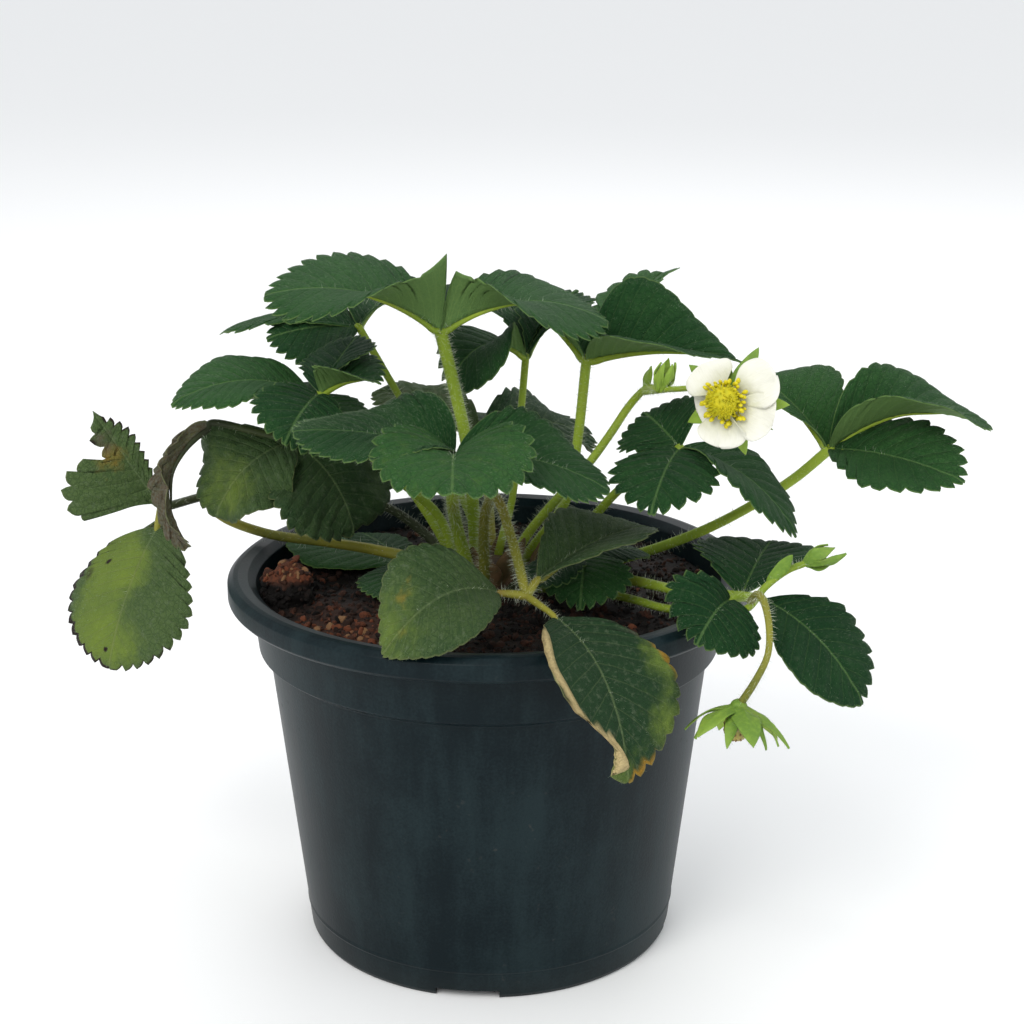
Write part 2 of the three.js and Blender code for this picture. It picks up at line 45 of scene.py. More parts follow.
class Wire:  # an output socket that adds Math nodes when it is used in sums
    def __init__(self, nodes, socket):
        self.nodes = nodes
        self.socket = socket

    def pick(self, name):
        return Wire(self.nodes, self.socket.node.outputs[name])

    def maths(self, operation, *others):
        return self.nodes.add("ShaderNodeMath", {"operation": operation}, dict(enumerate((self,) + others)))

    def __add__(self, other):
        return self.maths("ADD", other)

    def __sub__(self, other):
        return self.maths("SUBTRACT", other)

    def __rsub__(self, other):
        return self.nodes.add("ShaderNodeMath", {"operation": "SUBTRACT"}, {0: other, 1: self})

    def __mul__(self, other):
        return self.maths("MULTIPLY", other)

    __radd__ = __add__
    __rmul__ = __mul__


class Nodes:  # a node tree; add makes a node, sets it up and gives its first live output
    def __init__(self, tree):
        self.tree = tree

    def add(self, kind, settings=None, values=None):
        node = self.tree.nodes.new(kind)
        for name, value in (settings or {}).items():
            setattr(node, name, value)
        for name, value in (values or {}).items():
            if isinstance(value, Wire):
                self.tree.links.new(value.socket, node.inputs[name])
            else:
                node.inputs[name].default_value = value
        live = [socket for socket in node.outputs if socket.enabled]
        return Wire(self, live[0]) if live else node

    def smooth(self, low, high, value):  # 0 below low, 1 above high
        settings = {"interpolation_type": "SMOOTHSTEP"}
        return self.add("ShaderNodeMapRange", settings, {"Value": value, "From Min": low, "From Max": high})

    def mix(self, factor, first, second):
        first, second = [side if isinstance(side, Wire) else (*side, 1) for side in (first, second)]
        return self.add("ShaderNodeMix", {"data_type": "RGBA"}, {0: factor, 6: first, 7: second})

    def noise(self, place, scale, detail=3, roughness=0.5):
        values = {"Vector": place, "Scale": scale, "Detail": detail, "Roughness": roughness}
        return self.add("ShaderNodeTexNoise", None, values)

    def bump(self, strength, distance, height):
        values = {"Strength": strength, "Distance": distance, "Height": height}
        return self.add("ShaderNodeBump", None, values)

    def stored(self, name):
        return self.add("ShaderNodeAttribute", {"attribute_name": name}).pick("Fac")

    def objectPlace(self):
        return self.add("ShaderNodeTexCoord").pick("Object")

    def parts(self, vector):
        return self.add("ShaderNodeSeparateXYZ", None, {0: vector})

    def vectors(self, operation, first, second):
        values = {0: first, "Scale" if operation == "SCALE" else 1: second}
        return self.add("ShaderNodeVectorMath", {"operation": operation}, values)

    def shape(self, kind, values=None, settings=None):  # a geometry node, by the end of its name
        return self.add("GeometryNode" + kind, settings, values)

    def field(self, name, kind="FLOAT"):
        return self.shape("InputNamedAttribute", {"Name": name}, {"data_type": kind})

    def anyNumber(self, low, high, seed):
        return self.add("FunctionNodeRandomValue", {"data_type": "FLOAT"}, {2: low, 3: high, "Seed": seed})

    def anyVector(self, low, high, seed):
        values = {"Min": low, "Max": high, "Seed": seed}
        return self.add("FunctionNodeRandomValue", {"data_type": "FLOAT_VECTOR"}, values)

    def turnTo(self, axis, vector):
        return self.add("FunctionNodeAlignRotationToVector", {"axis": axis}, {"Vector": vector})

    def joined(self, *shapes):
        both = self.shape("JoinGeometry")
        for shape in shapes:
            self.tree.links.new(shape.socket, both.socket.node.inputs[0])
        return both

    def real(self, shape):
        return self.shape("RealizeInstances", {"Geometry": shape})

    def painted(self, shape, material):
        return self.shape("SetMaterial", {"Geometry": shape, "Material": material})

    def give(self, shape):
        self.add("NodeGroupOutput", None, {"Geometry": shape})


def newMaterial(name):
    material = bpy.data.materials.new(name)
    material.use_nodes = True
    material.node_tree.nodes.clear()
    return material, Nodes(material.node_tree)


def finishMaterial(nodes, fixed, colour, roughness, bump=None):
    varying = {"Base Color": colour, "Roughness": roughness}
    if bump:
        varying["Normal"] = bump
    skin = nodes.add("ShaderNodeBsdfPrincipled", None, {**fixed, **varying})
    nodes.add("ShaderNodeOutputMaterial", None, {"Surface": skin})


def newObject(name, data):
    thing = bpy.data.objects.new(name, data)
    scene.collection.objects.link(thing)
    return thing


camera = {"lens": 73.0, "place": (0, -568.4, 301.9), "aim": (6.7, 0, 126)}
lights = {
    "key": {"place": (-600, -1100, 1200), "size": 800, "power": 14, "colour": (1.0, 0.99, 0.96)},
    "fill": {"place": (1100, -700, 600), "size": 1000, "power": 3, "colour": (0.93, 0.97, 1.0)},
    "back": {"place": (200, 1000, 1100), "size": 900, "power": 4, "colour": (1.0, 1.0, 1.0)},
}
surroundings = {
    "colour": (0.96, 0.98, 1.0),
    "strength": 0.9,
    "floor": (0.93, 0.93, 0.93),
    "floorSize": 28,  # in metres
}


def aimed(thing, place, aim):
    place = np.array(place) * mm
    toward = np.array(aim) * mm - place
    distance = float(np.linalg.norm(toward))
    pitch = math.acos(-toward[2] / distance)
    thing.rotation_euler = (pitch, 0, math.atan2(-toward[0], toward[1]))
    thing.location = place


def buildStage():
    lens = bpy.data.cameras.new("camera")
    lens.lens = camera["lens"]
    lens.clip_start = 0.01
    scene.camera = newObject("camera", lens)
    aimed(scene.camera, camera["place"], camera["aim"])
    for name, light in lights.items():
        lamp = bpy.data.lights.new(name, "AREA")
        lamp.size = light["size"] * mm
        lamp.energy = light["power"]
        lamp.color = light["colour"]
        aimed(newObject(name, lamp), light["place"], (0, 0, 100))
    world = bpy.data.worlds.new("studio")
    world.use_nodes = True
    sky = world.node_tree.nodes["Background"]
    sky.inputs["Color"].default_value = (*surroundings["colour"], 1)
    sky.inputs["Strength"].default_value = surroundings["strength"]
    scene.world = world
    scene.view_settings.view_transform = "Standard"
    half = surroundings["floorSize"] / 2
    mesh = bpy.data.meshes.new("floor")
    corners = [(-half, -half, 0), (half, -half, 0), (half, half, 0), (-half, half, 0)]
    mesh.from_pydata(corners, [], [(0, 1, 2, 3)])
    material, nodes = newMaterial("paleFloor")
    finishMaterial(nodes, {}, (*surroundings["floor"], 1), 0.8)
    mesh.materials.append(material)
    newObject("floor", mesh)


buildStage()
print("stage ready")

leafTints = {
    "fresh": {
        "deep": (0.0046, 0.0305, 0.0084),
        "light": (0.0310, 0.0960, 0.0230),
        "vein": (0.095, 0.180, 0.055),
        "under": (0.110, 0.205, 0.062),
        "underVein": (0.190, 0.300, 0.085),
        "lines": 0.25,
        "film": 0.10,
    },
    "old": {
        "deep": (0.0130, 0.0380, 0.0135),
        "light": (0.0700, 0.1120, 0.0360),
        "vein": (0.115, 0.165, 0.070),
        "under": (0.110, 0.145, 0.060),
        "underVein": (0.180, 0.205, 0.080),
        "lines": 0.35,
        "film": 0.34,
    },
}
ageing = {
    "yellow": (0.190, 0.265, 0.028),
    "film": (0.150, 0.185, 0.115),
    "amber": (0.300, 0.165, 0.018),
    "dry": (0.085, 0.060, 0.034),
    "ash": (0.115, 0.110, 0.085),
    "cream": (0.500, 0.395, 0.190),
    "scorch": (0.018, 0.010, 0.010),
}
leafPattern = {  # how many there are to a centimetre
    "patches": 2.6,
    "blotches": 0.9,
    "specks": 14.0,
    "film": 5.5,
    "net": 6.5,
    "fineNet": 17.0,
    "down": 30.0,
    "wander": 3.0,  # of the side veins
}


def veinMasks(nodes, place):  # the side veins, the midrib and the distance from the nearest side vein
    along = nodes.parts(nodes.add("ShaderNodeUVMap", {"uv_map": "veins"}))
    wander = nodes.noise(place, leafPattern["wander"], 2)
    turn = (along.pick("X") + (wander - 0.5) * 0.16 - 0.2).maths("FRACT")
    fromVein = (turn - 0.5).maths("ABSOLUTE") * nodes.stored("span")
    fromRib = (nodes.parts(place).pick("Y") * 10).maths("ABSOLUTE")
    sideVein = (1 - nodes.smooth(0.04, 0.30, fromVein)) * (0.8 - along.pick("Y") * 0.5)
    return sideVein, 1 - nodes.smooth(0.12, 0.55, fromRib), fromVein


def netMask(nodes, place, scale, width):
    edged = {"feature": "DISTANCE_TO_EDGE"}
    cells = nodes.add("ShaderNodeTexVoronoi", edged, {"Vector": place, "Scale": scale})
    return 1 - nodes.smooth(0.0, width, cells)


def agedColour(nodes, place, tint, colour, broad, speck, line):  # also gives what is dry, and the mask of scorched spots and painted shade
    patchy = (nodes.noise(place, leafPattern["patches"], 5, 0.62) - 0.5) * 1.5
    yellow = nodes.smooth(0.25, 0.95, nodes.stored("yellow") + patchy * 0.55)
    amber = nodes.smooth(0.45, 1.0, nodes.stored("amber") + patchy * 0.5)
    dry = nodes.smooth(0.35, 0.7, nodes.stored("dry") + patchy * 0.35)
    scorch = nodes.smooth(0.45, 0.75, nodes.stored("scorch") + patchy * 0.4)
    dust = nodes.mix(nodes.smooth(0.35, 0.65, speck), ageing["dry"], ageing["ash"])
    straw = nodes.mix(nodes.smooth(0.3, 0.8, speck) * 0.35, ageing["cream"], ageing["dry"])
    colour = nodes.mix(yellow * 0.9, colour, nodes.mix(broad, ageing["yellow"], tint["light"]))
    colour = nodes.mix(amber * 0.9, colour, ageing["amber"])
    colour = nodes.mix(line * yellow * 0.35, colour, tint["underVein"])
    colour = nodes.mix(dry, colour, dust)
    # Scorched spots and painted shade both take this near-black colour.
    colour = nodes.mix(scorch, colour, ageing["scorch"])
    colour = nodes.mix(nodes.stored("cream"), colour, straw)
    return colour, dry, scorch


def leafMaterial(name, tint):
    material, nodes = newMaterial(name)
    place = nodes.add("ShaderNodeUVMap", {"uv_map": "flat"})
    under = nodes.smooth(0.4, 0.6, nodes.stored("under"))
    sideVein, rib, fromVein = veinMasks(nodes, place)
    line = sideVein.maths("MAXIMUM", rib)
    net = netMask(nodes, place, leafPattern["net"], 0.13)
    fineNet = netMask(nodes, place, leafPattern["fineNet"], 0.16)
    broad = nodes.noise(place, leafPattern["blotches"], 4, 0.55)
    speck = nodes.noise(place, leafPattern["specks"], 4, 0.6)
    ripple = nodes.smooth(0.0, 1.8, fromVein)
    tone = nodes.stored("tone") + (broad - 0.5) * 1.1 + (speck - 0.5) * 0.6 + ripple * 0.12 - 0.1
    lamina = nodes.mix(nodes.smooth(-0.7, 1.0, tone), tint["deep"], tint["light"])
    # The vein net darkens the lamina: painted shade in its sunken grooves, with lighter islands between.
    lamina = nodes.mix(net * 0.32 + fineNet * 0.16, lamina, tint["deep"])
    top = nodes.mix(sideVein * tint["lines"] + rib * 0.55, lamina, tint["vein"])
    pale = nodes.mix(net * 0.22 + fineNet * 0.1 + (broad - 0.5) * 0.3, tint["under"], tint["underVein"])
    pale = nodes.mix(line * 0.5, pale, tint["underVein"])
    film = nodes.smooth(0.50, 0.70, nodes.noise(place, leafPattern["film"], 6, 0.72)) * (1 - under)
    colour = nodes.mix(film * tint["film"], nodes.mix(under, top, pale), ageing["film"])
    colour, dry, scorch = agedColour(nodes, place, tint, colour, broad, speck, line)
    brim = (1 - nodes.smooth(0.05, 0.5, nodes.stored("edge"))) * (1 - scorch)
    colour = nodes.mix(brim * 0.4, colour, tint["underVein"])
    down = nodes.noise(place, leafPattern["down"], 2, 0.7)
    height = (ripple * 0.3 - line * 0.5 - net * 0.25 - fineNet * 0.15) * (1 - under * 0.85)
    bump = nodes.bump(0.7, 0.0011, height + speck * 0.4 + down * 0.35)
    gloss = 0.62 + (speck - 0.5) * 0.25 + dry * 0.2
    fixed = {"Specular IOR Level": 0.1, "Sheen Weight": 0.01, "Sheen Roughness": 0.5}
    finishMaterial(nodes, fixed, colour, gloss, bump)
    return material


def stalkMaterial(name, pale, deep, blush, blushShare):
    material, nodes = newMaterial(name)
    place = nodes.objectPlace()
    broad = nodes.noise(place, 45.0, 3)
    grain = nodes.noise(place, 900.0, 3)
    colour = nodes.mix(nodes.smooth(0.3, 0.7, broad), pale, deep)
    colour = nodes.mix(nodes.smooth(0.4, 0.75, grain) * 0.35, colour, pale)
    reddened = nodes.smooth(0.52, 0.75, nodes.noise(place, 70.0, 4, 0.6)) * blushShare
    colour = nodes.mix(reddened, colour, blush)
    bump = nodes.bump(0.4, 0.0003, grain)
    finishMaterial(nodes, {"Specular IOR Level": 0.25}, colour, 0.5 + broad * 0.15, bump)
    return material


def plainMaterial(name, first, second, scale, roughness, depth=0.0003):
    material, nodes = newMaterial(name)
    place = nodes.objectPlace()
    grain = nodes.noise(place, scale, 4, 0.6)
    colour = nodes.mix(nodes.smooth(0.3, 0.7, grain), first, second)
    bump = nodes.bump(0.5, depth, grain)
    gloss = roughness + (grain - 0.5) * 0.15
    finishMaterial(nodes, {"Specular IOR Level": 0.4}, colour, gloss, bump)
    return material


freshLeaf = leafMaterial("freshLeaf", leafTints["fresh"])
oldLeaf = leafMaterial("oldLeaf", leafTints["old"])
greenStalk = stalkMaterial("greenStalk", (0.29, 0.39, 0.034), (0.17, 0.25, 0.022), (0.18, 0.13, 0.03), 0.3)
oldStalk = stalkMaterial("oldStalk", (0.25, 0.235, 0.030), (0.12, 0.135, 0.022), (0.16, 0.075, 0.025), 0.6)
darkStalk = stalkMaterial("darkStalk", (0.045, 0.06, 0.02), (0.02, 0.025, 0.014), (0.04, 0.02, 0.015), 0.6)
hairWhite = plainMaterial("hairWhite", (0.66, 0.70, 0.56), (0.50, 0.56, 0.42), 300.0, 0.5)
hairSoft = plainMaterial("hairSoft", (0.28, 0.36, 0.24), (0.18, 0.26, 0.15), 300.0, 0.6)
print("finishes ready")


def addObject(name, points, faces, material):
    mesh = bpy.data.meshes.new(name)
    mesh.from_pydata((points * mm).tolist(), [], faces)
    mesh.materials.append(material)
    mesh.shade_smooth()
    return newObject(name, mesh)


def addLine(name, path):  # a chain of edges, which a tree turns into a tube or a pot
    edges = [(i, i + 1) for i in range(len(path) - 1)]
    mesh = bpy.data.meshes.new(name)
    mesh.from_pydata((path * mm).tolist(), edges, [])
    return newObject(name, mesh)


def addRings(name, x, y, z, material):  # a closed skin over rings that stand one above the other
    grid = np.arange(x.size).reshape(x.shape)
    a, b = grid[:-1], grid[1:]
    faces = np.stack([a, np.roll(a, -1, 1), np.roll(b, -1, 1), b], -1).reshape(-1, 4).tolist()
    faces += [grid[0][::-1].tolist(), grid[-1].tolist()]
    return addObject(name, np.stack([x, y, z], -1).reshape(-1, 3), faces, material)


def moveSpots(mesh, change):
    spots = np.empty(len(mesh.vertices) * 3)
    mesh.vertices.foreach_get("co", spots)
    spots = change(spots.reshape(-1, 3))
    mesh.vertices.foreach_set("co", spots.ravel())
    mesh.update()


def addBall(name, detail, material, change):  # change gives the ball's places in millimetres
    bpy.ops.mesh.primitive_ico_sphere_add(subdivisions=detail, radius=1)
    ball = bpy.context.object
    ball.name = name
    moveSpots(ball.data, lambda spots: change(spots) * mm)
    ball.data.materials.append(material)
    ball.data.shade_smooth()
    return ball


def storeValues(mesh, values):
    for name, value in values.items():
        value = np.asarray(value, dtype=np.float32)
        if value.ndim == 2:
            layer = mesh.attributes.new(name, "FLOAT_VECTOR", "POINT")
            layer.data.foreach_set("vector", value.ravel())
        else:
            layer = mesh.attributes.new(name, "FLOAT", "POINT")
            layer.data.foreach_set("value", value)


def storeMap(mesh, name, u, v):
    corners = np.empty(len(mesh.loops), dtype=np.int32)
    mesh.loops.foreach_get("vertex_index", corners)
    layer = mesh.uv_layers.new(name=name)
    layer.data.foreach_set("uv", np.column_stack([u[corners], v[corners]]).astype(np.float32).ravel())


def unit(v):
    return v / np.maximum(np.linalg.norm(v, axis=-1, keepdims=True), 1e-9)


def smoothPath(points, step=1.6):  # an evenly split smooth curve through the points
    p = np.array(points, float)
    p = np.vstack([2 * p[0] - p[1], p, 2 * p[-1] - p[-2]])
    path = []
    for a, b, c, d in zip(p[:-3], p[1:-2], p[2:-1], p[3:]):
        lead, here, after = [max(np.linalg.norm(q), 1e-4) ** 0.5 for q in (b - a, c - b, d - c)]
        slopeB = ((b - a) / lead - (c - a) / (lead + here) + (c - b) / here) * here
        slopeC = ((c - b) / here - (d - b) / (here + after) + (d - c) / after) * here
        for t in np.linspace(0, 1, max(2, math.ceil(np.linalg.norm(c - b) / step)), endpoint=False):
            start = (2 * t**3 - 3 * t**2 + 1) * b + (t**3 - 2 * t**2 + t) * slopeB
            path.append(start + (3 * t**2 - 2 * t**3) * c + (t**3 - t**2) * slopeC)
    path.append(p[-2])
    return np.array(path)


def joinAll(name, things):
    bpy.ops.object.select_all(action="DESELECT")
    for thing in things:
        thing.select_set(True)
    bpy.context.view_layer.objects.active = things[0]
    if len(things) > 1:
        bpy.ops.object.join()
    things[0].name = name
    things[0].data.name = name
    return things[0]


def geometryTree(name, inputs):
    tree = bpy.data.node_groups.new(name, "GeometryNodeTree")
    tree.interface.new_socket(name="Geometry", in_out="INPUT", socket_type="NodeSocketGeometry")
    for label, (kind, value) in inputs.items():
        socket = tree.interface.new_socket(name=label, in_out="INPUT", socket_type="NodeSocket" + kind)
        if value is not None:
            socket.default_value = value
    tree.interface.new_socket(name="Geometry", in_out="OUTPUT", socket_type="NodeSocketGeometry")
    nodes = Nodes(tree)
    return tree, nodes, nodes.add("NodeGroupInput")


def runTree(thing, tree, values):  # sets the inputs, then turns the result into a plain mesh
    modifier = thing.modifiers.new(tree.name, "NODES")
    modifier.node_group = tree
    for item in tree.interface.items_tree:
        if item.item_type == "SOCKET" and item.in_out == "INPUT" and item.name in values:
            modifier[item.identifier] = values[item.name]
    shown = bpy.context.evaluated_depsgraph_get()
    made = bpy.data.meshes.new_from_object(thing.evaluated_get(shown))
    thing.modifiers.clear()
    thing.data = made
    return thing


hairSizes = (0.45, 1.15)  # the least and the most of a hair's full length


def hairTree():
    inputs = {
        "Density": ("Float", 1.0),
        "Length": ("Float", 1.0),
        "Radius": ("Float", 0.05),
        "Lean": ("Float", 0.5),
        "Stray": ("Float", 0.4),
        "Seed": ("Int", 1),
        "Hair": ("Material", None),
    }
    tree, nodes, given = geometryTree("hairs", inputs)
    lay = nodes.field("lay", "FLOAT_VECTOR")
    mesh = given.pick("Geometry")
    density = given.pick("Density") * nodes.field("fur") * 1e6  # from hairs a square millimetre
    spread = {"Mesh": mesh, "Density": density, "Seed": given.pick("Seed")}
    points = nodes.shape("DistributePointsOnFaces", spread)
    leaning = nodes.vectors("SCALE", lay, given.pick("Lean"))
    stray = nodes.anyVector((-1, -1, -1), (1, 1, 1), given.pick("Seed"))
    stray = nodes.vectors("SCALE", stray, given.pick("Stray"))
    toward = nodes.vectors("ADD", nodes.vectors("ADD", points.pick("Normal"), leaning), stray)
    turned = nodes.turnTo("Z", toward)
    radius, length = given.pick("Radius") * mm, given.pick("Length") * mm
    hair = {"Vertices": 3, "Radius Top": 0.0, "Radius Bottom": radius, "Depth": length}
    hair = nodes.shape("MeshCone", hair)
    size = nodes.anyNumber(*hairSizes, 7)
    placed = {"Points": points, "Instance": hair, "Rotation": turned, "Scale": size}
    hairs = nodes.shape("InstanceOnPoints", placed)
    hairs = nodes.painted(nodes.real(hairs), given.pick("Hair"))
    nodes.give(nodes.joined(mesh, hairs))
    return tree


def stalkTree():
    inputs = {"Sides": ("Int", 10), "Skin": ("Material", None)}
    tree, nodes, given = geometryTree("stalk", inputs)
    curve = nodes.shape("MeshToCurve", {"Mesh": given.pick("Geometry")})
    circle = {"Resolution": given.pick("Sides"), "Radius": 1.0}
    ring = nodes.shape("CurvePrimitiveCircle", circle)
    swept = {"Curve": curve, "Profile Curve": ring, "Scale": nodes.field("thick"), "Fill Caps": True}
    tube = nodes.shape("CurveToMesh", swept)
    tube = nodes.shape("SetShadeSmooth", {"Geometry": tube})
    nodes.give(nodes.painted(nodes.real(tube), given.pick("Skin")))
    return tree


hairs = hairTree()
stalks = stalkTree()


def addStalk(name, points, radii, skin, fur=1.0, sides=10):  # a tube that tapers through the radii
    path = smoothPath(points)
    share = np.linspace(0, 1, len(path))
    radius = np.interp(share, np.linspace(0, 1, len(radii)), radii)
    thing = addLine(name, path)
    lay = unit(np.gradient(path, axis=0))
    storeValues(thing.data, {"thick": radius * mm, "fur": np.full(len(path), fur), "lay": lay})
    return runTree(thing, stalks, {"Sides": sides, "Skin": skin})


def addHair(thing, density, length, radius, lean, stray, seed, skin):
    values = {"Density": density, "Length": length, "Radius": radius, "Lean": lean, "Stray": stray}
    return runTree(thing, hairs, {**values, "Seed": seed, "Hair": skin})


bladeMesh = {
    "thickness": 0.42,
    "first": 0.3,  # where the teeth start along the margin, and where they end
    "last": 0.93,
    "toothSteps": (0, 0.12, 0.26, 0.42, 0.58, 0.7, 0.78, 0.89),
    "baseSteps": (0, 0.04, 0.08, 0.12, 0.155, 0.19, 0.215, 0.24, 0.26, 0.28),
    "tipSteps": (0.945, 0.958, 0.972, 0.985, 0.995),
    "peak": 0.7,  # a tooth's tip, as a share of the way between two notches
    "rows": 10,
    "nudge": 0.4,  # the step to a blade's neighbouring places, for its normals
}


def blend(values, u):
    a, b, c = values
    return a * (1 - u) ** 2 + 2 * b * u * (1 - u) + c * u * u


def bladeSurface(base, blade):
    root = np.array(base, float)
    along = np.array(blade["tip"], float) - root
    length = np.linalg.norm(along)
    along = along / length
    up = np.array(blade.get("up", (0, 0, 1)), float)  # what the blade's upper side faces
    up = unit(up - along * up.dot(along))
    across = np.cross(along, up)
    half = blade["width"] / 2
    bend = math.radians(blade.get("curl", -9)) / half
    left, right = [blade.get(side, blade.get("lift", (8, 4, 0))) for side in ("left", "right")]
    roll = blade.get("roll", 0)
    twist = blade.get("twist", 0)
    wave = blade.get("wave", 0.6)

    def facing(turn):
        turn = np.radians(turn)[..., None]
        return up * np.cos(turn) + across * np.sin(turn)

    rise = facing(np.float64(roll))

    def at(x, y):
        u = x / length
        lift = np.radians(np.where(y < 0, blend(right, u), blend(left, u)))
        normal = facing(roll + twist * (u - 0.5))
        leftward = np.cross(normal, along)
        r = np.abs(y)
        out = (np.sin(lift + bend * r) - np.sin(lift)) / bend
        ruffle = wave * np.sin(7 * u + np.where(y < 0, 2, 0)) * (r / half) ** 2
        high = (np.cos(lift) - np.cos(lift + bend * r)) / bend + ruffle
        place = root + along * x[..., None] + rise * (4 * blade.get("arch", 0) * u * (1 - u))[..., None]
        return place + leftward * (np.sign(y) * out)[..., None] + normal * high[..., None]

    return at, length, half


def bladeNormal(at, x, y):
    step = bladeMesh["nudge"]
    return unit(np.cross(at(x + step, y) - at(x - step, y), at(x, y + step) - at(x, y - step)))


def marginPlace(s, blade):  # how far along and how far out the margin is at each share of its way
    u = np.clip(0.5 - 0.5 * np.cos(np.pi * s), 0.0001, 0.9999)
    return u, np.sin(np.pi * u ** blade.get("belly", 1.15)) ** blade.get("blunt", 0.65)


def toothInset(f, peak):  # 0 at a tooth's tip and 1 in the notches beside it
    rising = 1 - np.sin(np.pi / 2 * np.clip(f / peak, 0, 1)) ** 0.62
    falling = np.clip((f - peak) / (1 - peak), 0, 1) ** 1.5
    point = 0.10 * np.exp(-(((f - peak) / 0.04) ** 2))
    return np.where(f < peak, rising, falling) - point


def bladeColumns(teeth):
    first, last = bladeMesh["first"], bladeMesh["last"]
    if teeth == 0:
        return np.concatenate([np.linspace(0, 0.97, 30), [0.985, 0.996]])
    gap = (last - first) / teeth
    toothed = [first + gap * (i + f) for i in range(teeth) for f in bladeMesh["toothSteps"]]
    return np.array([*bladeMesh["baseSteps"], *toothed, last, *bladeMesh["tipSteps"]])


def ribPlace(s, blade, teeth, length):  # where each column starts on the midrib
    if not teeth:
        return length * marginPlace(s, blade)[0]
    first, last = bladeMesh["first"], bladeMesh["last"]
    f = np.clip((s - first) / (last - first), 0, 1)
    rib = length * (0.05 * np.clip(s / first, 0, 1) + 0.8 * f**1.1)
    return rib + length * 0.15 * np.clip((s - last) / (1 - last), 0, 1)


def withEar(ear, s, x, y):  # a broad corner beside the blade's base
    join = ear["join"]
    endX, endY = np.interp(join, s, x), np.interp(join, s, y)
    rise = np.clip(s / ear["at"], 0, 1)
    fall = np.clip((s - ear["at"]) / (join - ear["at"]), 0, 1)
    bow = ear["bow"] * np.sin(np.pi * fall)
    earX = ear["x"] * rise + (endX - ear["x"]) * fall
    earY = 0.5 + (ear["y"] - 0.5) * rise**0.8 + (endY - ear["y"]) * fall + bow
    return np.where(s < join, earX, x), np.where(s < join, earY, y)


def smoothMargin(s, blade, sign, length, half, least):
    u, w = marginPlace(s, blade)
    x, y = u * length, np.maximum(least, w * half)
    outline = blade.get("leftOutline" if sign > 0 else "rightOutline")
    if outline:  # an uneven margin, in millimetres along the blade and outward
        path = smoothPath(outline, 0.5)
        reach = np.concatenate([[0], np.cumsum(np.linalg.norm(np.diff(path, axis=0), axis=1))])
        x, y = [np.interp(s * reach[-1], reach, part) for part in path.T]
    for ear in blade.get("ears", ()):
        if ear["side"] == sign:
            x, y = withEar(ear, s, x, y)
    return x, y


def toothCuts(s, vein, teeth, depth, sizes):  # how far the margin is cut in at each column
    if not teeth:
        return np.zeros_like(s)
    first, last = bladeMesh["first"], bladeMesh["last"]
    tooth = np.clip(np.floor(vein + 1e-6), 0, teeth - 1).astype(int)
    inset = toothInset(vein - tooth, bladeMesh["peak"]) * depth * sizes[tooth]
    inset = np.where((s >= first) & (s <= last), inset * np.clip(vein + 0.6, 0, 1), 0)
    return np.where(s > last, depth * np.clip(1 - (s - last) / 0.03, 0, 1) ** 1.3, inset)


def bladeHalf(s, rib, gap, smooth, toothed, sign):  # one side's grid, from the midrib to the margin
    t = np.linspace(0, 1, bladeMesh["rows"]) ** 1.12
    x, y = toothed
    reach = np.hypot(x - rib, y)
    forward = -0.015 * np.outer(np.clip(reach, 0, 30), np.sin(np.pi * t))
    gridX = rib[:, None] + (x - rib)[:, None] * t + forward
    spanX = np.gradient(rib[:, None] + (smooth[0] - rib)[:, None] * t, s, axis=0)
    spanY = np.gradient(smooth[1][:, None] * t, s, axis=0)
    spans = np.hypot(spanX, spanY) * gap
    return gridX, y[:, None] * t * sign, np.tile(t, (len(s), 1)), spans, reach[:, None] * (1 - t)


def foldHems(s, blade, margins, flatY):  # turns a margin back over the blade as a pale hem
    fold = np.zeros_like(flatY)
    folded = np.zeros_like(flatY)
    for hem in blade.get("hems", ()):
        sign = hem["side"]
        ramp = np.clip((s - hem["start"]) / hem["ramp"], 0, 1) * np.clip((hem["stop"] - s) / 0.06, 0, 1)
        line = (margins[sign] - hem["wide"] * np.sin(np.pi / 2 * ramp))[:, None]
        beyond = np.clip(flatY * sign - line, 0, None) * (flatY * sign > 0)
        back = np.where(beyond > 0.6, 1.2 - beyond, beyond)
        flatY = np.where(beyond > 0, sign * (line + back), flatY)
        fold = fold + np.where(beyond > 0, 0.9 * np.clip(beyond / 1.2, 0, 1), 0)
        folded = np.maximum(folded, np.clip(beyond * 3, 0, 1))
    return flatY, fold, folded


def bladeRelief(blade, luck, teeth, flatX, flatY, share, spans, margins, fromVein):
    calm = np.clip(margins / 2.5, 0, 1) * np.clip(share * 4, 0, 1)
    plump = blade.get("plump", 0.2) * np.clip(spans / 4.5, 0, 1.2) * (teeth > 0)
    quilt = plump * (1 - np.exp(-((fromVein / 1.25) ** 2))) * calm
    phase = luck.uniform(0, 6.3, 6)
    sway = np.sin(flatX * 0.23 + flatY * 0.11 + phase[0]) + np.sin(flatX * 0.13 - flatY * 0.27 + phase[1])
    crinkle = np.sin(flatX * 0.9 + phase[2]) * np.sin(flatY * 0.8 + phase[3])
    ruffle = np.sin(flatX * 0.42 + phase[4] + np.sign(flatY)) * share**2
    crumple = blade.get("crumple", 0.25)
    relief = quilt + crumple * (0.8 * sway * share + 0.35 * crinkle * calm + 1.1 * ruffle)
    return relief - 0.35 * (teeth > 0) * np.clip(1 - margins / 3, 0, 1) ** 2


def shellFaces(columns, wide):  # the upper side, the lower side and the edge between them
    count = columns * wide
    index = np.arange(count).reshape(columns, wide)
    a, b, c, d = index[:-1, :-1], index[1:, :-1], index[1:, 1:], index[:-1, 1:]
    upper = np.stack([a, b, c, d], -1).reshape(-1, 4)
    lower = np.stack([d, c, b, a], -1).reshape(-1, 4) + count
    rim = np.concatenate([index[:-1, 0], index[-1, :-1], index[:0:-1, -1], index[0, :0:-1]])
    after = np.roll(rim, -1)
    return np.concatenate([upper, lower, np.column_stack([after, rim, rim + count, after + count])])


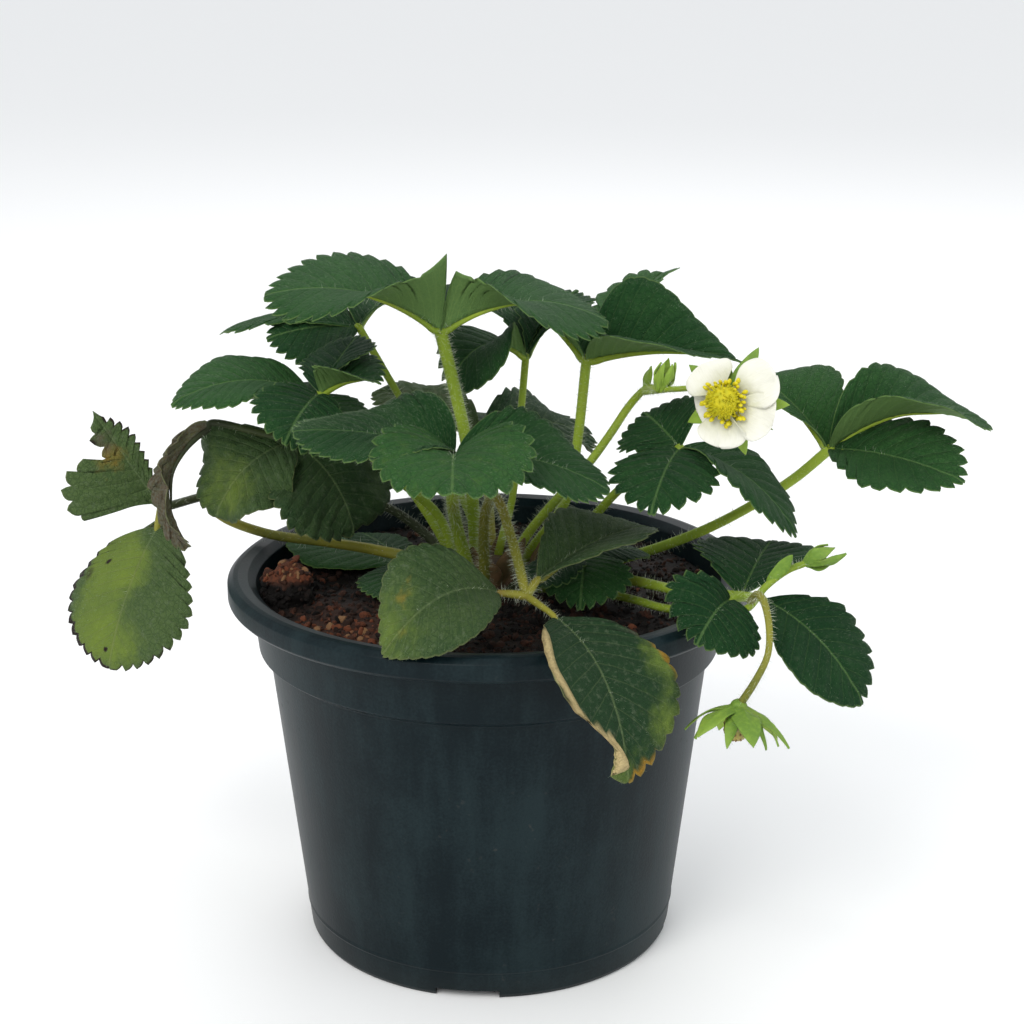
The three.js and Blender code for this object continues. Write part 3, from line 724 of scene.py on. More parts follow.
def bladeColours(blade, tone, length, half, flatX, flatY, margins, u):
    values = {"tone": np.full_like(flatX, tone + blade.get("tone", 0))}
    for kind in ("yellow", "amber", "dry", "scorch"):
        values[kind] = np.full_like(flatX, float(blade.get(kind, 0)))
    for stain in blade.get("stains", ()):
        away = np.hypot(flatX - stain["at"][0] * length, flatY - stain["at"][1] * half)
        spread = stain["much"] * np.exp(-((away / stain["wide"]) ** 2))
        values[stain["kind"]] = values[stain["kind"]] + spread
    for brim in blade.get("brims", ()):
        within = (flatY * brim.get("side", 0) >= 0) * (u > brim.get("start", 0))
        spread = brim["much"] * within * np.exp(-((margins / brim["wide"]) ** 2))
        values[brim["kind"]] = values[brim["kind"]] + spread
    return values


def leafletParts(base, blade, leafTone, seed):
    luck = np.random.default_rng(seed)
    at, length, half = bladeSurface(base, blade)
    teeth = blade.get("teeth", 8)
    gap = (bladeMesh["last"] - bladeMesh["first"]) / max(teeth, 1)
    s = bladeColumns(teeth)
    vein = (s - bladeMesh["first"]) / gap
    rib = ribPlace(s, blade, teeth, length)
    bite = blade.get("bite", 0.085)
    bites = blade.get("bites", (bite, bite))  # of the right and the left side
    sizes = luck.uniform(0.8, 1.2, (2, teeth + 1))
    least = min(0.5, 0.05 * half)
    margins = {}
    sides = []
    for side, sign in enumerate((-1, 1)):
        x, y = smoothMargin(s, blade, sign, length, half, least)
        tangent = unit(np.column_stack([np.gradient(x), np.gradient(y)]))
        inset = toothCuts(s, vein, teeth, bites[side] * (half + 6), sizes[side])
        toothed = x + inset * tangent[:, 1], np.maximum(least * 0.7, y - inset * tangent[:, 0])
        margins[sign] = y
        sides.append(bladeHalf(s, rib, gap, (x, y), toothed, sign))
    flatX, plainY, share, spans, toMargin = [np.hstack([a[:, :0:-1], b]) for a, b in zip(*sides)]
    columns, wide = flatX.shape
    veins = np.repeat(vein[:, None], wide, axis=1)
    flatY, fold, folded = foldHems(s, blade, margins, plainY)
    fromVein = np.abs((veins - bladeMesh["peak"] + 0.5) % 1 - 0.5) * spans
    relief = bladeRelief(blade, luck, teeth, flatX, flatY, share, spans, toMargin, fromVein) + fold
    u = flatX / length
    groove = np.exp(-((fromVein / 0.4) ** 2)) * (teeth > 0) * (1 - 0.6 * share) * blade.get("grooved", 1)
    keel = blade.get("keel", 1) * np.exp(-((plainY / 0.65) ** 2)) * np.clip(1.15 - u, 0, 1)
    y = np.where(np.abs(flatY) < 1e-6, 1e-6, flatY)
    here = at(flatX, y)
    normal = bladeNormal(at, flatX, y)
    slim = bladeMesh["thickness"] / 2 * (1 - 0.55 * share**6)
    top = here + normal * (relief + slim - 0.10 * groove - 0.2 * keel)[..., None]
    low = here + normal * (relief - slim - 0.18 * groove - 0.7 * keel)[..., None]
    values = bladeColours(blade, leafTone, length, half, flatX, plainY, toMargin, u)
    values.update({"span": spans, "edge": toMargin, "cream": folded})
    values = {name: np.concatenate([value.ravel()] * 2) for name, value in values.items()}
    lay = unit(at(flatX + 0.6, y + np.sign(y) * 0.8) - here)
    values["lay"] = np.concatenate([lay.reshape(-1, 3)] * 2)
    downy = 3.0 * np.exp(-((toMargin / 0.6) ** 2))
    fur = np.concatenate([(0.8 + downy).ravel(), (0.35 + downy + 5.0 * keel).ravel()])
    values["fur"] = fur * blade.get("fur", 1.0)
    values["under"] = np.repeat([0, 1], flatX.size)
    shift = round(luck.uniform(0, 40, 2)[0]) * 10
    maps = {"veins": (veins, share), "flat": (flatX / 10 + shift, plainY / 10)}
    maps = {name: [np.concatenate([part.ravel()] * 2) for part in pair] for name, pair in maps.items()}
    points = np.concatenate([top.reshape(-1, 3), low.reshape(-1, 3)])
    return points, shellFaces(columns, wide), values, maps


def addBlades(name, blades, tone, seed, material):
    gathered = [leafletParts(base, blade, tone, seed * 10 + i) for i, (base, blade) in enumerate(blades)]
    points, faces, values, maps = zip(*gathered)
    starts = np.cumsum([0] + [len(part) for part in points])
    faces = np.concatenate([part + start for part, start in zip(faces, starts)])
    thing = addObject(name, np.concatenate(points), faces.tolist(), material)
    for label in values[0]:
        storeValues(thing.data, {label: np.concatenate([part[label] for part in values])})
    for label in maps[0]:
        u, v = [np.concatenate(parts) for parts in zip(*(part[label] for part in maps))]
        storeMap(thing.data, label, u, v)
    return thing


# Stalks run from the crown to the knot where three blades meet. A blade's tip and width set
# its size, roll turns it about its midrib, and left and right, or lift where they are the same,
# raise its halves in degrees at its base, middle and tip.
leaves = {
    "tall_left": {
        "stem": [[-3, 1, 103], [-4, 0, 121], [-6, -3, 146], [-10, -7, 167], [-13, -10, 181]],
        "radius": 1.8,
        "furry": 1.6,
        "tone": 0.35,
        "blades": [
            {"tip": [-60.5, -15, 192], "width": 43, "arch": 7, "roll": -20, "left": [100, 15, -5],
             "right": [25, 0, 0], "blunt": 0.5, "teeth": 10, "tone": 0.1, "plump": 0.04, "crumple": 0.08,
             "ribSize": 0.6, "grooved": 0.1,
             "ears": [{"side": 1, "at": 0.155, "x": 4.8, "y": 24.2, "join": 0.34, "bow": -1.5}]},
            {"tip": [33, -12, 184], "width": 42, "arch": 7, "left": [45, 12, 0], "right": [95, -10, -25],
             "blunt": 0.5, "teeth": 10, "plump": 0.04, "crumple": 0.08, "ribSize": 0.6, "grooved": 0.1,
             "ears": [{"side": -1, "at": 0.155, "x": 6.2, "y": 16, "join": 0.34, "bow": -1}]},
            {"tip": [-12, 32, 186], "width": 14, "arch": 1, "lift": [60, 40, 20],
             "teeth": 6, "tone": -1.0},
        ],
    },
    "back_middle": {
        "stem": [[1, 8, 103], [4, 10, 115], [7, 12, 127], [9, 18, 145], [11, 24, 166]],
        "radius": 1.1,
        "tone": -0.2,
        "blades": [
            {"tip": [-12, 9, 160], "width": 32, "arch": 9, "roll": -10, "twist": -50, "left": [60, 30, 0],
             "right": [40, 0, -10], "bites": (0.085, 0.02), "tone": 0.2},
            {"tip": [27, 50, 181], "width": 27, "arch": 2, "lift": [50, 25, 0],
             "belly": 1.5, "blunt": 0.8},
            {"tip": [10, 62, 179], "width": 27, "arch": 2, "lift": [50, 25, 0],
             "belly": 1.5, "blunt": 0.8},
        ],
    },
    "tall_right": {
        "stem": [[4, 3, 103], [14, 5, 115], [22, 6, 127], [25, 6.5, 141], [28, 8, 169]],
        "radius": 1.5,
        "furry": 1.2,
        "tone": 0.1,
        "blades": [
            {"tip": [6, 30, 184], "width": 34, "arch": 2, "left": [60, 30, 10], "right": [40, 10, 0],
             "tone": 0.2},
            {"tip": [71, -5, 171], "width": 42, "arch": 3, "left": [85, 75, 20], "right": [35, 30, 0],
             "belly": 0.6, "blunt": 1.15, "bites": (0.05, 0.015), "teeth": 10, "tone": -0.1},
            {"tip": [53, 45, 187], "width": 26, "arch": 2, "left": [10, 0, 10], "right": [60, 50, 30],
             "belly": 1.5, "blunt": 0.4, "bite": 0.12, "teeth": 6, "tone": 1.2},
        ],
    },
    "upper_left": {
        "stem": [[-3, 8, 103], [-5, 9, 121], [-14, 11, 138], [-25, 13, 156], [-37, 15, 177]],
        "radius": 1.1,
        "tone": -0.1,
        "blades": [
            {"tip": [-63, 10, 174.5], "width": 30, "arch": 2, "roll": -28},
            {"tip": [-78, 40, 170], "width": 36, "arch": 5, "lift": [5, 0, 0],
             "tone": 0.3},
            {"tip": [-27, 46, 180], "width": 26, "arch": 2, "lift": [50, 20, 0]},
        ],
    },
    "left": {
        "stem": [[-7.5, 1, 102], [-14, -2, 125], [-26, -6, 138], [-40, -12, 154], [-46, -15, 165]],
        "radius": 1.3,
        "tone": -0.15,
        "blades": [
            {"tip": [-36, 0, 178], "width": 27, "arch": 1, "left": [20, 0, -10], "right": [50, 30, 10],
             "tone": -0.3},
            {"tip": [-29, -23, 170], "width": 30, "arch": 2, "roll": -5, "left": [60, 30, 10],
             "right": [50, 30, 10]},
            {"tip": [-54, -37, 156.5], "width": 28, "arch": 2, "left": [0, -40, -50], "right": [40, 30, 10]},
        ],
    },
    "front": {
        "stem": [[-4, -3, 102], [-9, -10, 125], [-10, -20, 136], [-9, -38, 153]],
        "radius": 1.8,
        "furry": 1.8,
        "tone": 0.0,
        "blades": [
            {"tip": [-51, -45, 162], "width": 42, "arch": 3, "roll": -8, "left": [35, 8, -5],
             "right": [80, -30, 0], "belly": 0.95, "blunt": 0.45, "teeth": 12, "bite": 0.05, "fur": 3.4},
            {"tip": [-9, -78, 155.5], "width": 43, "arch": 4, "lift": [50, 20, -20],
             "blunt": 0.5, "teeth": 9, "bite": 0.07, "tone": 0.6, "fur": 1.5, "yellow": 0.3},
            {"tip": [32, -45, 145.5], "width": 38, "arch": 4, "left": [85, 10, 0], "right": [30, 0, -10],
             "blunt": 0.5, "teeth": 11, "bite": 0.06, "tone": 0.1, "fur": 1.5},
        ],
    },
    "right": {
        "stem": [[8, 7, 103], [22, 2, 114], [31, -4, 127], [38, -8, 136], [53, -15, 149]],
        "radius": 1.3,
        "tone": -0.1,
        "blades": [
            {"tip": [43, -43, 138.5], "width": 31, "arch": 3, "teeth": 7, "bite": 0.12, "plump": 0.4},
            {"tip": [43.5, -1, 156], "width": 28, "arch": 1, "roll": -25, "left": [10, 0, 0],
             "right": [40, 10, 0]},
            {"tip": [84, -32, 128.5], "width": 34, "arch": 5, "roll": -5, "left": [30, 0, 0],
             "right": [30, 10, 0], "tone": 0.1},
        ],
    },
    "far_right": {
        "stem": [[9.5, 3, 102], [21, 2, 108], [39, 0, 112], [63, -3, 122], [85, -5, 136], [96, -6, 146]],
        "radius": 1.5,
        "tone": 0.0,
        "blades": [
            {"tip": [78, 18, 161.5], "width": 34, "arch": 3, "roll": -20, "left": [70, 40, 10],
             "right": [50, 20, 0], "tone": 0.5, "bites": (0.02, 0.03),
             "leftOutline": [[0, 0.6], [4, 5], [12, 8], [22, 8], [30, 5], [33.8, 0.6]]},
            {"tip": [140.7, -10, 153], "width": 36, "arch": 8, "roll": 5, "left": [100, 15, 0],
             "right": [62, 42, 10], "ribSize": 0.7, "belly": 0.95, "blunt": 0.5, "teeth": 10,
             "bites": (0.06, 0.04), "tone": 0.3},
            {"tip": [128, -34, 144.5], "width": 36, "arch": 3, "roll": 25, "left": [20, 0, 0],
             "right": [30, 15, 10], "tone": 0.3},
        ],
    },
    "low_right": {
        "stem": [[7, -1.5, 102], [20, -8, 108.5], [36, -15, 111], [53.5, -29, 112], [68, -42, 115]],
        "radius": 1.5,
        "tone": -0.35,
        "blades": [
            {"from": [64.5, -46.5, 115.8], "tip": [54, -63, 109], "width": 30, "arch": 3, "roll": -10,
             "left": [0, -25, -25], "right": [80, 45, 0], "teeth": 8, "bites": (0.1, 0.05), "plump": 0.3},
            {"tip": [80, -14, 122], "width": 38, "arch": 2, "lift": [30, 15, 5]},
            {"from": [73.5, -44, 115], "tip": [98.5, -62, 91.5], "width": 32, "arch": 5, "roll": 15,
             "left": [20, 0, 0], "right": [20, 10, 0], "bites": (0.015, 0.08), "teeth": 8, "plump": 0.3},
        ],
    },
    "old_front": {
        "stem": [[-1, -6, 102], [-1, -14, 130], [2, -22, 137], [6, -35, 130], [10, -48, 117.5]],
        "radius": 1.4,
        "old": True,
        "stalkSkin": "old",
        "furry": 1.8,
        "tone": 0.1,
        "blades": [
            {"from": [3, -50, 119], "tip": [-27.5, -70, 109], "width": 32, "arch": 10, "roll": -20,
             "left": [0, 0, 0], "right": [60, 45, 20], "teeth": 11, "bites": (0.03, 0.016),
             "yellow": 0.12, "fur": 0.5, "crumple": 0.4, "tone": 0.2,
             "stains": [{"at": (0.92, -0.2), "wide": 12, "kind": "yellow", "much": 0.52},
                        {"at": (0.74, -0.36), "wide": 4.5, "kind": "amber", "much": 0.6},
                        {"at": (0.6, -0.6), "wide": 3, "kind": "amber", "much": 0.5},
                        {"at": (0.85, 0.1), "wide": 4, "kind": "amber", "much": 0.55}],
             "brims": [{"kind": "dry", "much": 0.3, "wide": 0.7}]},
            {"from": [13, -45, 121], "tip": [45, -14, 126], "width": 30, "arch": 3, "left": [65, 35, 10],
             "right": [25, 20, 10], "bite": 0.05},
            {"from": [17, -57, 115], "tip": [35, -91, 82.5], "width": 43, "arch": 10, "left": [10, 0, 0],
             "right": [20, 20, 20], "teeth": 10, "tone": -1.25, "crumple": 0.3, "ribSkin": "old",
             "ribSize": 0.8, "fur": 0.3, "bites": (0.0, 0.05),
             "hems": [{"side": -1, "start": 0.15, "stop": 0.88, "wide": 5.4, "ramp": 0.6}],
             "stains": [{"at": (0.8, 0.75), "wide": 10, "kind": "yellow", "much": 0.75},
                        {"at": (0.42, 0.95), "wide": 8, "kind": "yellow", "much": 0.9},
                        {"at": (0.42, 1.05), "wide": 6.5, "kind": "amber", "much": 0.9},
                        {"at": (0.25, 0.75), "wide": 7, "kind": "dry", "much": 0.5},
                        {"at": (0.95, -0.2), "wide": 7, "kind": "yellow", "much": 0.8},
                        {"at": (1.0, 0.25), "wide": 6, "kind": "amber", "much": 0.95}],
             "brims": [{"kind": "amber", "much": 0.5, "wide": 0.8, "side": 1, "start": 0.3}]},
        ],
    },
    "old_left": {
        "stem": [
            [-9.5, 5, 102], [-20, 6.5, 109], [-32, 9, 111.5], [-46, 12, 113], [-67, 22, 113],
            [-79, 22, 118], [-83, 19, 124], [-81, 14, 131], [-71, 8, 139], [-56, 4, 146],
        ],
        "radius": 1.5,
        "old": True,
        "stalkSkin": "old",
        # From this point on, the stalk is painted dark, as shade under the crumpled leaf.
        "darkFrom": 8,
        "furry": 0.25,
        "tone": 0.25,
        "blades": [
            {"tip": [-77, -8, 127], "width": 38, "arch": 5, "roll": -10, "left": [0, 0, 0],
             "right": [50, 10, 0], "blunt": 0.5, "crumple": 1.6, "plump": 0.3, "bites": (0.05, 0.015),
             "teeth": 9, "fur": 0.15, "ribSkin": "dark", "ribSize": 0.7,
             # The dark stains at both big blades' bases are painted shade at the top of the hanging leaf, by
             # its knot.
             "stains": [{"at": (0.0, 0.0), "wide": 14, "kind": "scorch", "much": 0.46},
                        {"at": (0.7, -0.25), "wide": 12, "kind": "yellow", "much": 0.6},
                        {"at": (0.75, 0.4), "wide": 8, "kind": "yellow", "much": 0.45}]},
            {"tip": [-38, -6, 121], "width": 47, "arch": 5, "roll": 10, "left": [30, 10, 0],
             "right": [0, 0, 0], "blunt": 0.5, "crumple": 1.5, "plump": 0.3, "bite": 0.04, "teeth": 9,
             "fur": 0.15, "ribSkin": "dark", "tone": -0.3,
             # Painted shade again at this blade's base, by the knot.
             "stains": [{"at": (0.1, 0.0), "wide": 12, "kind": "scorch", "much": 0.4},
                        {"at": (0.5, 0.7), "wide": 8, "kind": "dry", "much": 0.4}]},
            {"from": [-79, 2, 152], "tip": [-84, -14, 120], "width": 13, "arch": 9, "roll": 50, "dry": 0.62,
             "lift": [65, 60, 20], "belly": 1.1, "blunt": 0.45,
             "crumple": 1.1, "teeth": 7, "bite": 0.12, "keel": 0.5, "fur": 0.3, "ribSkin": "dark"},
        ],
    },
    "far_left": {
        "stem": [[-5, 12.5, 102], [-30, 30, 118], [-57, 38, 122], [-77, 33, 123], [-96, 15, 123]],
        "radius": 1.3,
        "old": True,
        "stalkSkin": "dark",
        "tone": 0.45,
        "blades": [
            {"tip": [-114, 12, 153.5], "width": 31, "roll": -80, "teeth": 8, "bite": 0.1, "tone": 0.6,
             "plump": 0.2, "ribSkin": "old",
             "leftOutline": [[0, 0.6], [8, 4.4], [12.5, 11], [10.5, 21], [18, 22], [24, 17], [24.5, 9],
                             [19, 5], [25, 5.5], [30, 5], [33, 0.6]],
             "rightOutline": [[0, 0.6], [6, 3], [16, 6], [24, 6.5], [30, 4], [33, 0.6]],
             "right": [40, 40, 30],
             "stains": [{"at": (0.6, 0.25), "wide": 9, "kind": "amber", "much": 0.72},
                        {"at": (0.72, 0.2), "wide": 7, "kind": "dry", "much": 0.58},
                        {"at": (0.76, 0.42), "wide": 3.2, "kind": "scorch", "much": 0.95}],
             "brims": [{"kind": "scorch", "much": 0.75, "wide": 1.2, "side": -1, "start": 0.3}]},
            {"from": [-97, 12, 118], "tip": [-110, -7, 81], "width": 47, "arch": 3, "lift": [0, 0, 0],
             "blunt": 0.5, "teeth": 11, "tone": 0.4, "bites": (0.045, 0.06), "ribSkin": "old", "plump": 0.1,
             "grooved": 0.4,
             "stains": [{"at": (0.3, -0.4), "wide": 10, "kind": "yellow", "much": 1.0},
                        {"at": (0.1, -0.6), "wide": 8, "kind": "yellow", "much": 0.9},
                        {"at": (0.7, -0.4), "wide": 11, "kind": "yellow", "much": 0.7},
                        {"at": (0.42, -0.75), "wide": 4, "kind": "scorch", "much": 0.62},
                        {"at": (0.85, 0.25), "wide": 9, "kind": "yellow", "much": 0.5},
                        {"at": (0.3, 0.0), "wide": 7, "kind": "yellow", "much": 0.6},
                        {"at": (0.85, -0.3), "wide": 12, "kind": "yellow", "much": 0.5},
                        {"at": (0.3, -0.5), "wide": 1.5, "kind": "scorch", "much": 0.95},
                        {"at": (0.88, -0.1), "wide": 1.2, "kind": "scorch", "much": 0.95}],
             "brims": [{"kind": "scorch", "much": 0.9, "wide": 1.2, "side": -1, "start": 0.15},
                       {"kind": "scorch", "much": 0.7, "wide": 0.8, "start": 0.75}]},
            {"from": [-97, 18, 119], "tip": [-110, 28, 84], "width": 26, "arch": 3, "yellow": 0.3},
        ],
    },
    "old_back": {
        "stem": [[1, 13, 102], [0, 28, 122], [-3, 45, 138]],
        "radius": 1.4,
        "old": True,
        "stalkSkin": "old",
        "tone": -0.5,
        "blades": [
            {"tip": [34, 58, 131], "width": 38, "arch": 5, "roll": 10, "left": [40, 10, 0],
             "right": [20, 0, 0], "crumple": 0.8},
            {"tip": [-36, 55, 148], "width": 30, "arch": 3, "roll": -5, "left": [10, 0, 0],
             "right": [40, 10, 0], "dry": 0.4, "crumple": 0.9, "tone": 0.8},
            {"tip": [4, 92, 124], "width": 38, "arch": 6, "yellow": 0.3},
        ],
    },
    "low_left": {
        "stem": [[-8.5, 9.5, 102], [-16, 16, 104], [-25, 18, 105.2]],
        "radius": 1.1,
        "stalkSkin": "dark",
        "tone": 0.1,
        "blades": [
            {"tip": [-61, 27, 108.5], "width": 28, "arch": 0.5, "lift": [0, 0, 0],
             "bite": 0.02, "plump": 0.08, "dry": 0.3, "fur": 0.3, "tone": 0.6},
            {"tip": [-40, 44, 106], "width": 22, "arch": 1, "lift": [0, 0, 0],
             "dry": 0.2},
            {"tip": [-31, -14, 105], "width": 20, "arch": 1, "lift": [0, 0, 0],
             "dry": 0.15},
        ],
    },
    "low_front": {
        "stem": [[3.5, -4.5, 102], [14, -8, 112], [28, -12, 117]],
        "radius": 1,
        "stalkSkin": "dark",
        "tone": -0.6,
        "blades": [
            {"tip": [25, -32, 107.5], "width": 28, "arch": 4, "dry": 0.3, "tone": 0.9},
            {"tip": [46, -9, 116], "width": 17, "arch": 2, "lift": [0, 0, 0]},
            {"tip": [9, -29, 112], "width": 18, "arch": 2},
        ],
    },
    "side_left": {
        "stem": [[-6.5, 4.5, 103], [-18, 6, 124], [-34, 6, 146], [-49, 2, 160]],
        "radius": 1.2,
        "tone": 0.1,
        "blades": [
            {"tip": [-88, -10, 160.5], "width": 30, "arch": 6, "roll": -12, "lift": [30, 10, 0],
             "tone": 0.35, "bites": (0.03, 0.06), "teeth": 10, "plump": 0.12},
            {"tip": [-64, 34, 150], "width": 30, "arch": 4},
            {"tip": [-36, -6, 150], "width": 24, "arch": 2},
        ],
    },
}
stalkSkins = {"fresh": greenStalk, "old": oldStalk, "dark": darkStalk}
stalkHair = {"density": 1.2, "length": 1.9, "radius": 0.042, "lean": 0.2, "stray": 0.3, "skin": hairWhite}
bladeHair = {"density": 0.55, "length": 0.85, "radius": 0.02, "lean": 1.6, "stray": 0.35, "skin": hairSoft}
finished = []


def settle(piece, node):
    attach(piece, "root")
    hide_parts(node)
    finished.append(piece)


def buildRib(name, knot, base, blade, radius, skin, fur):  # a blade's own short stalk and midrib
    at, length = bladeSurface(base, blade)[:2]
    x = np.array([0.03, 0.1, 0.25, 0.45, 0.7]) * length
    y = np.full_like(x, 1e-6)
    depth = radius * np.array([0.66, 0.56, 0.46, 0.32, 0.16]) + 0.2
    path = [np.array(knot, float)]
    if np.linalg.norm(np.array(base, float) - path[0]) > 1:
        path.append(np.array(base, float))
    path = path + list(at(x, y) - bladeNormal(at, x, y) * depth[:, None])
    radii = [radius] + [radius * 0.72] * (len(path) - 5) + [radius * k for k in (0.6, 0.5, 0.36, 0.2)]
    return addStalk(name, path, radii, skin, fur, 8)


def buildLeaf(name, leaf, seed):
    old = leaf.get("old", False)
    skin = stalkSkins[leaf.get("stalkSkin", "fresh")]
    knot = leaf["stem"][-1]
    radius = leaf["radius"]
    pairs = [(blade.get("from", knot), blade) for blade in leaf["blades"]]
    blades = addBlades("blades_" + name, pairs, leaf["tone"], seed, oldLeaf if old else freshLeaf)
    blades = addHair(blades, seed=seed, **bladeHair)
    furry = leaf.get("furry", 0.7)
    path = leaf["stem"]
    stems = []
    if "darkFrom" in leaf:  # painted shade: the stalk's far end is darkened where it runs through the crumpled leaf's shadow
        far = leaf["darkFrom"]
        stems.append(addStalk("far_" + name, path[far:], [radius * 0.95, radius], darkStalk, furry, 12))
        path = path[: far + 1]
    radii = [radius * 1.25, radius, radius * 0.95, radius]
    stems.append(addStalk("stem_" + name, path, radii, skin, furry, 12))
    ribs = []
    for base, blade in pairs:
        ribSkin = stalkSkins[blade["ribSkin"]] if "ribSkin" in blade else skin
        ribSize = radius * blade.get("ribSize", 1)
        ribs.append(buildRib("rib_" + name, knot, base, blade, ribSize, ribSkin, furry * 0.5))
    stalk = addHair(joinAll("stalk_" + name, stems + ribs), seed=seed + 50, **stalkHair)
    leafPiece = joinAll("dressed_leaf_" + name, [blades, stalk])
    settle(leafPiece, "leaf_" + name)


for number, (name, leaf) in enumerate(leaves.items()):
    buildLeaf(name, leaf, 10 + number)
print("leaves ready")

plastic = {
    "dark": (0.0016, 0.0066, 0.0090),
    "faded": (0.0085, 0.0185, 0.0215),
    "dust": (0.055, 0.055, 0.050),
    "roughness": 0.40,
}
pot = {
    "height": 110,
    "lipRadius": 75,
    "lipDepth": 7.3,
    "collarRadius": 68.2,
    "collarFoot": 87.5,
    "wallTop": 63.6,
    "footRadius": 53,
    "footFlare": 0.8,  # how far the wall's foot stands out over the foot ring
    "collarTaper": 1.6,  # how much narrower the collar is at its foot
    "wall": 1.4,
    "footDepth": 3,
    "padRadius": 14,
    "notches": 4,
    "notchWidth": 18,
    "notchDepth": 2.6,
    "notchTurn": -97,
    "drains": 6,
    "drainRadius": 4,
    "drainRing": 33,
    "round": 0.8,  # how far the profile's corners are rounded
    "segments": 160,
    "core": 20,  # the circle that carries the profile round
    "creaseAngle": 35,
}
flaredFoot = pot["footRadius"] + pot["footFlare"]
taperedCollar = pot["collarRadius"] - pot["collarTaper"]


def plasticMaterial():
    material, nodes = newMaterial("darkPlastic")
    place = nodes.objectPlace()
    upright = nodes.add("ShaderNodeMapping", None, {"Vector": place, "Scale": (1.0, 1.0, 0.08)})
    streak = nodes.noise(upright, 160.0, 4, 0.6)
    cloud = nodes.noise(place, 28.0, 4, 0.55)
    grain = nodes.noise(place, 1400.0, 2)
    speck = nodes.noise(place, 420.0, 2)
    height = nodes.parts(place).pick("Z")
    worn = cloud * 0.6 + streak * 0.4 + (grain - 0.5) * 0.25
    colour = nodes.mix(nodes.smooth(0.38, 0.66, worn), plastic["dark"], plastic["faded"])
    dusty = nodes.smooth(0.66, 0.78, speck) * nodes.smooth(0.45, 0.65, cloud)
    low = 1 - nodes.smooth(0.0, 0.012, height)
    colour = nodes.mix(dusty * 0.35 + low * 0.12, colour, plastic["dust"])
    bump = nodes.bump(0.25, 0.0003, grain * 0.5 + streak * 0.6 + cloud * 1.2)
    gloss = plastic["roughness"] + (cloud - 0.5) * 0.16 + (streak - 0.5) * 0.1 + dusty * 0.2
    finishMaterial(nodes, {"Specular IOR Level": 0.12}, colour, gloss, bump)
    return material


def potProfile():  # from the middle of the foot up the outside, over the lip and down the inside
    p = pot
    t = p["wall"]
    lipFoot = p["height"] - p["lipDepth"]
    slope = (p["wallTop"] - flaredFoot) / (p["collarFoot"] - 2.4)
    beadSteps = ((8.2, 0), (8.6, 0.25), (9.6, 0))
    bead = [(flaredFoot + slope * (z - 1.4) + out, z) for z, out in beadSteps]
    return [
        (0, 0),
        (p["padRadius"], 0),
        (p["padRadius"] + 2.5, p["footDepth"]),
        (p["footRadius"] - 3, p["footDepth"]),
        (p["footRadius"] - 2, 0),
        (p["footRadius"], 0),
        (flaredFoot, 1.4),
        *bead,
        (p["wallTop"], p["collarFoot"] - 1),
        (taperedCollar, p["collarFoot"] + 1),
        (p["collarRadius"], lipFoot + 0.4),
        (p["lipRadius"] - 1.2, lipFoot),
        (p["lipRadius"], lipFoot + 1.2),
        (p["lipRadius"], p["height"] - 1.8),
        (p["lipRadius"] - 1.6, p["height"] - 0.3),
        (p["lipRadius"] - 3, p["height"]),
        (p["collarRadius"] + 1, p["height"] - 0.5),
        (p["collarRadius"] - t, p["height"] - 2.5),
        (taperedCollar - t, p["collarFoot"] + 1),
        (p["wallTop"] - t, p["collarFoot"] - 1.6),
        (flaredFoot - t, p["footDepth"] + 3),
        (p["footRadius"] - 2, p["footDepth"] + t),
        (p["padRadius"] + 1.8, p["footDepth"] + t),
        (p["padRadius"] - 0.7, t),
        (0, t),
    ]


def potTree():
    sizes = {
        "Segments": ("Int", 160),
        "Core": ("Float", 0.02),
        "Round": ("Float", 0.0008),
        "Notches": ("Int", 4),
        "Notch Width": ("Float", 0.018),
        "Notch Depth": ("Float", 0.0026),
        "Notch Turn": ("Float", 0.0),
        "Foot Radius": ("Float", 0.053),
        "Drains": ("Int", 6),
        "Drain Radius": ("Float", 0.004),
        "Drain Ring": ("Float", 0.033),
        "Skin": ("Material", None),
    }
    tree, nodes, given = geometryTree("pot", sizes)
    outline = nodes.shape("MeshToCurve", {"Mesh": given})
    fillet = {"Curve": outline, "Count": 4, "Radius": given.pick("Round"), "Limit Radius": True}
    outline = nodes.shape("FilletCurve", fillet, {"mode": "POLY"})
    ring = {"Resolution": given.pick("Segments"), "Radius": given.pick("Core")}
    ring = nodes.shape("CurvePrimitiveCircle", ring)
    shell = nodes.shape("CurveToMesh", {"Curve": ring, "Profile Curve": outline})
    shell = nodes.shape("MergeByDistance", {"Geometry": shell, "Distance": 0.00001})
    spot = nodes.shape("InputPosition")
    outward = nodes.turnTo("X", spot)
    ring = {"Vertices": given.pick("Notches"), "Radius": given.pick("Foot Radius") + 0.002}
    ring = nodes.shape("MeshCircle", ring)
    turn = nodes.add("ShaderNodeCombineXYZ", None, {"Z": given.pick("Notch Turn")})
    ring = nodes.shape("Transform", {"Geometry": ring, "Rotation": turn})
    size = {"X": 0.014, "Y": given.pick("Notch Width"), "Z": given.pick("Notch Depth") * 2}
    block = nodes.shape("MeshCube", {"Size": nodes.add("ShaderNodeCombineXYZ", None, size)})
    notches = {"Points": ring, "Instance": block, "Rotation": outward}
    notches = nodes.shape("InstanceOnPoints", notches)
    ring = {"Vertices": given.pick("Drains"), "Radius": given.pick("Drain Ring")}
    ring = nodes.shape("MeshCircle", ring)
    bore = {"Vertices": 20, "Radius": given.pick("Drain Radius"), "Depth": 0.02}
    bore = nodes.shape("MeshCylinder", bore)
    drains = nodes.shape("InstanceOnPoints", {"Points": ring, "Instance": bore})
    cutters = nodes.joined(notches, drains)
    how = {"operation": "DIFFERENCE", "solver": "EXACT"}
    made = nodes.shape("MeshBoolean", {"Mesh 1": shell, "Mesh 2": nodes.real(cutters)}, how)
    nodes.give(nodes.painted(nodes.real(made), given.pick("Skin")))
    return tree


